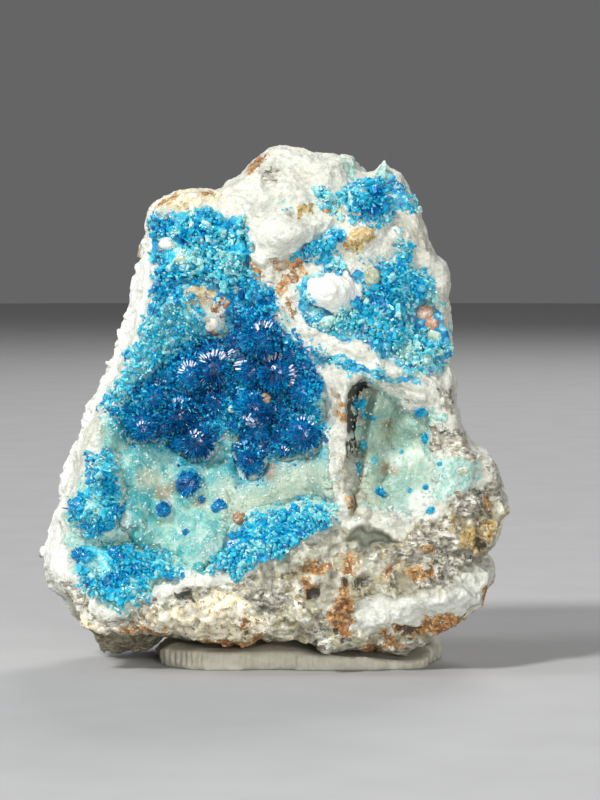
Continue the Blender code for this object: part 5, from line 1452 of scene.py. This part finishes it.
def crust_surface(node, widen):
    """A crust's solid, thickened into the rock behind it and widened over the gap around it."""
    places, normals, faces = remeshed(node, *CRUST_MESH, facing_viewer)
    back = smoothstep((normals[:, 1] + 0.35) / 0.8)
    places = places + BACKWARD * (CRUST_SINK * back)[:, None]
    beside = smoothstep(1.2 * np.hypot(normals[:, 0], normals[:, 2]))
    places = places + normals * [1.0, 0.2, 1.0] * (widen * beside)[:, None]
    return places, normals, faces


# The scalloped lobe at the left of the vug, whose lower rim stands out as a ledge
LOBE = [
    (-15.6, 10.3), (-14.7, 10.4), (-13.6, 9.9), (-12.6, 10.1), (-11.6, 10.3), (-10.9, 10.9), (-10.3, 11.0),
    (-9.9, 11.8), (-10.2, 12.6), (-10.8, 14.4), (-11.6, 16.2), (-13.0, 17.5), (-14.5, 16.6), (-15.8, 13.0),
]
LEDGE_STEP = 0.5
LEDGE_TOP = 12.4
# Where the white rock of the lip comes through the druse: X, Z, radius
BARE_LIP = [(-6.2, 7.2, 1.0), (-4.6, 7.9, 0.7), (-7.4, 6.9, 0.8)]
LIP_SINK = 1.2
# The corner under the arch, shaded by the wall on its left
CORNER = [(5.9, 21.9), (7.8, 21.7), (7.4, 20.2), (7.0, 18.2), (6.7, 15.6), (6.2, 13.8), (5.8, 16.0)]
CORNER_DEPTH = 1.8
# How far the right hollow is cut back, and the depth behind which the rock stays as it is
RIGHT_DEPTH = 1.6
KEPT_BEHIND = 6.0


def hollowed(places):
    """How far the right hollow is cut back at each place, deepest under its arch."""
    inside = depth_inside(places[:, [0, 2]], DRUSE_RIGHT_FIELD)
    upper = 0.3 + 0.7 * smoothstep((places[:, 2] - 13.0) / 6.0)
    corner = CORNER_DEPTH * zone(places[:, [0, 2]], [CORNER])
    return (RIGHT_DEPTH * smoothstep(inside / 1.5 + 0.2) * upper + corner) * (places[:, 1] < KEPT_BEHIND)


# How far a druse and a crust of blue crystals are widened over the gap around them
DRUSE_WIDER = 0.38
BLUE_WIDER = 0.1


def druse_surface(node, seed):
    """A druse: lumps and ledges covered all over in small crystal points."""
    places, normals, faces = crust_surface(node, DRUSE_WIDER)
    lift = 0.16 * soft_noise(places, 2.4, seed, 2)
    lift += 0.1 * (crags(places, 0.8, seed + 1, 1.0, 0.9) - 0.3)
    lift += 0.08 * (crags(places, 0.36, seed + 2, 1.2, 0.9) - 0.3)
    deep = depth_inside(wandered(places, 68), LOBE)
    rim = smoothstep((LEDGE_TOP - places[:, 2]) / 1.2)
    lift += LEDGE_STEP * rim * smoothstep(deep / 0.4 + 0.5) * (1.0 - smoothstep((deep - 0.8) / 1.4))
    places = places + normals * lift[:, None]
    if node == "druse_right":
        places[:, 1] += hollowed(places)
    places[:, 1] += LIP_SINK * spotted(places, BARE_LIP)
    return places, normals, faces


def spotted(places, spots):
    """Share from 0 to 1 of a tone, from spots of X, Z and radius."""
    found = np.zeros(len(places))
    for x, z, radius in spots:
        found = np.maximum(found, smoothstep(1.4 - np.hypot(places[:, 0] - x, places[:, 2] - z) / radius))
    return found


# Beige, paler and brown parts of the druses, and a part without teal: X, Z, radius
BEIGE_SPOTS = [
    (0.5, 14.6, 3.2), (3.2, 14.5, 2.4), (-2.6, 13.2, 1.8), (8.6, 18.5, 1.5), (7.0, 13.6, 1.6),
    (6.8, 17.0, 1.2), (-5.6, 28.5, 1.5), (-9.6, 14.6, 1.0),
]
PALE_SPOTS = [
    (-4.5, 27.0, 1.0), (12.2, 16.8, 1.1), (11.5, 13.0, 1.4), (9.2, 11.8, 1.2), (-12.0, 11.2, 1.1),
    (-13.6, 13.0, 0.8),
]
# The first three lie in the corner under the arch, where their brown is in part painted shade
BROWN_AND_SHADE_SPOTS = [
    (6.5, 21.1, 0.8), (6.4, 19.2, 0.4), (6.3, 17.9, 0.3), (-8.5, 13.6, 0.8), (-7.9, 14.0, 0.6),
    (-0.3, 15.3, 0.7), (8.8, 15.4, 0.6), (-5.6, 13.0, 0.6), (9.0, 18.9, 0.5), (-5.7, 28.6, 1.0),
]
TEALLESS_SPOTS = [(-5.2, 28.0, 1.6)]
# How beige the rest of a druse is, and how far teal reaches from the large cluster
BEIGE_GROUNDS = {"druse_right": 0.5}
TEAL_REACH = 1.6


def tones_of(places, beige_ground):
    """Beige, brown and white parts of a druse, the brown in part painted shade in the corner under the
    arch.
    """
    moved = places + 0.4 * np.stack([soft_noise(places, 1.2, seed, 2) for seed in (62, 63, 64)], axis=1)
    beige = np.maximum(0.75 * spotted(moved, BEIGE_SPOTS), beige_ground)
    pale = smoothstep(soft_noise(places, 1.6, 61, 2) - 0.15) * 0.7
    pale = np.maximum(pale, 0.8 * spotted(moved, PALE_SPOTS))
    return np.stack([beige, 0.7 * spotted(moved, BROWN_AND_SHADE_SPOTS), pale], axis=1)


def teal_of(places):
    """Share of teal in a druse, highest beside the large cluster of rosettes and on the upper left wall."""
    gap = -depth_inside(wandered(places, 66), MAIN_FIELD)
    wall = zone(wandered(places, 67), [LEFT_EDGE_FIELD]) * (1.0 - spotted(places, TEALLESS_SPOTS))
    return np.maximum(0.85 * smoothstep((TEAL_REACH - gap) / TEAL_REACH), 0.9 * wall)


# The ground between the crystals lies this far under the crust's own surface, and has this much relief
BASE_SINK = 0.2
BASE_RELIEF = 0.2


def blue_base(places, normals, tint):
    """The ground of a blue crust: facets of its own and a tint that changes from facet to facet."""
    _, numbers = nearest_seed(places, 0.45, seed=41)
    lift = BASE_RELIEF * (crags(places, 0.5, 42, 1.1, 1.6) - 0.35) - BASE_SINK
    tints = tint + 0.3 * (numbers[:, 0] - 0.55) + PLACE_TINTS * soft_noise(places, 1.2, 40, 2)
    return places + normals * lift[:, None], np.clip(tints, 0.0, TOP_TINT)


def side_of_pad(middles, normals):
    """Faces around the side of the pad, wherever they are."""
    return np.abs(normals[:, 2]) < 0.7


# Ribs of the putty: width, relief, and relief of the unevenness between them
RIB_WIDTH = 0.42
RIB_RELIEF = 0.07
UNEVEN_RELIEF = 0.1


def putty_surface():
    """The pad, with the fine upright ribs that pressing left around its side."""
    places, normals, faces = remeshed("putty_pad", *PUTTY_MESH, side_of_pad)
    side = smoothstep((0.8 - np.abs(normals[:, 2])) / 0.5) * smoothstep((places[:, 2] - 0.15) / 0.3)
    swing = np.sin(places[:, 0] * math.tau / RIB_WIDTH + 2.0 * soft_noise(places, 3.0, 81))
    lift = RIB_RELIEF * swing * side
    lift += UNEVEN_RELIEF * soft_noise(places, 1.3, 82, 3) * side
    return places + normals * lift[:, None], normals, faces


# Each druse, with the seed of its relief
DRUSES = {"druse_main": 200, "druse_left": 210, "druse_right": 220}
# Each crust of blue crystals: its solid, field, crystal width, tint of the crystals and of the ground
# between them, and number of coarse crystals to each square millimetre
BLUE_CRUSTS = [
    ("veszelyite_main", MAIN_FIELD, 0.3, 0.43, 0.26, 0.0),
    ("veszelyite_upper_left", UPPER_LEFT_FIELD, 0.42, 0.70, 0.58, 0.8),
    ("veszelyite_curl", CURL_FIELD, 0.38, 0.66, 0.78, 1.0),
    ("veszelyite_lower_left", LOWER_LEFT_FIELD, 0.38, 0.73, 0.76, 1.0),
    ("veszelyite_lower_middle", LOWER_MIDDLE_FIELD, 0.36, 0.70, 0.66, 0.8),
    ("veszelyite_upper_right", UPPER_RIGHT_FIELD, 0.36, 0.73, 0.72, 0.8),
    ("veszelyite_top_right", TOP_RIGHT_FIELD, 0.4, 0.67, 0.54, 1.4),
    ("veszelyite_top_patch", TOP_PATCH_FIELD, 0.4, 0.72, 0.56, 1.6),
    ("veszelyite_streak", STREAK_FIELD, 0.38, 0.66, 0.5, 1.4),
]
# Balls on the crusts: places, tint, blade width and share of the radius that is solid
BALLS = {
    "veszelyite_main": (MAIN_ROSETTES, 0.37, 0.3, 0.76),
    "veszelyite_lower_left": (LOWER_LEFT_BALLS, 0.46, 0.5, 0.86),
    "veszelyite_curl": (CURL_BALLS, 0.54, 0.5, 0.86),
}
# Balls that stand by themselves on the druses, in the same form
STRAY_BALLS = [(DRUSE_BALLS, 0.42, 0.4, 0.84), (RIGHT_BALLS, 0.62, 0.28, 0.66)]
# Lighter and darker parts of each crust
SPOTS = {
    "veszelyite_main": MAIN_SPOTS,
    "veszelyite_upper_left": UPPER_LEFT_SPOTS,
    "veszelyite_upper_right": UPPER_RIGHT_SPOTS,
    "veszelyite_top_right": TOP_RIGHT_SPOTS,
    "veszelyite_lower_left": LOWER_LEFT_SPOTS,
    "veszelyite_curl": CURL_SPOTS,
}

rng = np.random.default_rng(seed=5)
ROCK = rock_material()
DRUSE = druse_material()
CLEAR = clear_material()
BLUE = blue_material()
PAINTED_GLINT = painted_glint_material()
NODULE = nodule_material()
PUTTY = putty_material()

rock, rock_marks = rock_surface()
add_rock(rock, rock_marks)

druses = {node: druse_surface(node, seed) for node, seed in DRUSES.items()}
for node, (places, _, faces) in druses.items():
    tones = tones_of(places, BEIGE_GROUNDS.get(node, 0.0))
    add_piece("aqua_" + node, places, faces, DRUSE, "aqua_druse", [node], tones=tones, teal=teal_of(places))

bases = {node: crust_surface(node, BLUE_WIDER) for node, *_ in BLUE_CRUSTS}
ground = tree_of(rock, *druses.values(), *bases.values())
crusts = {}
for node, field, size, tint, ground_tint, coarse in BLUE_CRUSTS:
    growth = Growth(SPOTS.get(node, ()))
    places, normals, faces = bases[node]
    places, tints = blue_base(places, normals, ground_tint)
    growth.merge(places, faces, tints)
    add_crust(growth, rng, ground, field, size, tint, coarse)
    balls, *form = BALLS.get(node, ((),))
    for x, z, radius in balls:
        add_rosette(growth, rng, ground, x, z, radius, *form)
    crusts[node] = growth.make("blue_" + node, BLUE, "blue_crystal", [node])

# Laths on the large cluster in a pale lilac grey that is a painted highlight
growth = Growth()
places, faces = crusts["veszelyite_main"]
add_glints(growth, rng, BVHTree.FromPolygons(places.tolist(), faces.tolist()))
growth.make("painted_glint_blades", PAINTED_GLINT, "blue_crystal", tinted=False)

# Crystals of the same kind that stand by themselves on the druse and the rock
growth = Growth()
for balls, *form in STRAY_BALLS:
    for x, z, radius in balls:
        add_rosette(growth, rng, ground, x, z, radius, *form)
for field in SMALL_FIELDS + [SIDE_STRIPE_FIELD]:
    add_crust(growth, rng, ground, field, 0.26, 0.72)
add_crust(growth, rng, ground, LEFT_EDGE_FIELD, 0.4, 0.68)
add_tufts(growth, rng, ground, FRINGE, 3, 0.9, 0.2, 0.66)
growth.make("blue_strays", BLUE, "blue_crystal")

# Clear points of the druse
growth = Growth()
for field in (DRUSE_MAIN_FIELD, DRUSE_RIGHT_FIELD):
    add_tufts(growth, rng, ground, field, 4, 0.8, 0.18, 0.5, PRISM, 1.0, 0.55)
growth.make("clear_points", CLEAR, "aqua_druse", tinted=False)

places, faces, colours = nodules(rng, ground)
add_piece("mineral_grains", places, faces, NODULE, "rock", own=colours)

places, _, faces = putty_surface()
add_piece("pressed_putty", places, faces, PUTTY, "putty", ["putty_pad"])

# Floor, light and camera, in metres but for the camera's view
FLOOR_RADIUS = 1.2
FLOOR_CORNERS = 96
SURROUND = (0.13, 0.13, 0.133, 1.0)
LIGHT_TARGET = (0.0, 0.0, 0.02)
# Each light's place, width and power
LIGHTS = {
    "key": ((-0.3, -0.36, 0.44), 0.11, 3.35),
    "front": ((0.12, -0.5, 0.08), 0.16, 1.4),
    "left": ((-0.44, -0.04, 0.32), 0.2, 0.85),
    "back": ((0.15, 0.5, 0.45), 0.3, 1.6),
}
# The photograph's middle lies at this X, Y and Z, and its height covers this many millimetres of the object
VIEW_CENTRE = (2.0, -5.0, 20.6)
VIEW_HEIGHT = 61.5
ELEVATION = math.radians(3.0)
LENS = 150.0
SENSOR = 36.0

bpy.ops.mesh.primitive_circle_add(vertices=FLOOR_CORNERS, radius=FLOOR_RADIUS, fill_type="NGON")
floor = bpy.context.object
floor.name = "floor"
floor.data.materials.append(floor_material())
floor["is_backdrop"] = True

world = bpy.data.worlds.new("studio")
world.use_nodes = True
feed(world.node_tree, world.node_tree.nodes["Background"], {"Color": SURROUND, "Strength": 1.0})
bpy.context.scene.world = world

for name, (place, width, power) in LIGHTS.items():
    lamp = bpy.data.lights.new(name, "AREA")
    lamp.shape = "DISK"
    lamp.size = width
    lamp.energy = power
    light = linked(name, lamp)
    light.location = place
    light.rotation_euler = (Vector(LIGHT_TARGET) - Vector(place)).to_track_quat("-Z", "Y").to_euler()

lens = bpy.data.cameras.new("camera")
lens.lens = LENS
lens.sensor_width = SENSOR
lens.clip_start = 0.01
camera = linked("camera", lens)
distance = VIEW_HEIGHT * LENS / SENSOR * MM
away = Vector((0.0, -math.cos(ELEVATION), math.sin(ELEVATION)))
camera.location = Vector(VIEW_CENTRE) * MM + distance * away
camera.rotation_euler = (math.pi / 2 - ELEVATION, 0.0, 0.0)
bpy.context.scene.camera = camera
bpy.context.scene.view_settings.view_transform = "Standard"

size = {"cad": [list(corner) for corner in cad_box], "visual": [list(corner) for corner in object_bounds()]}
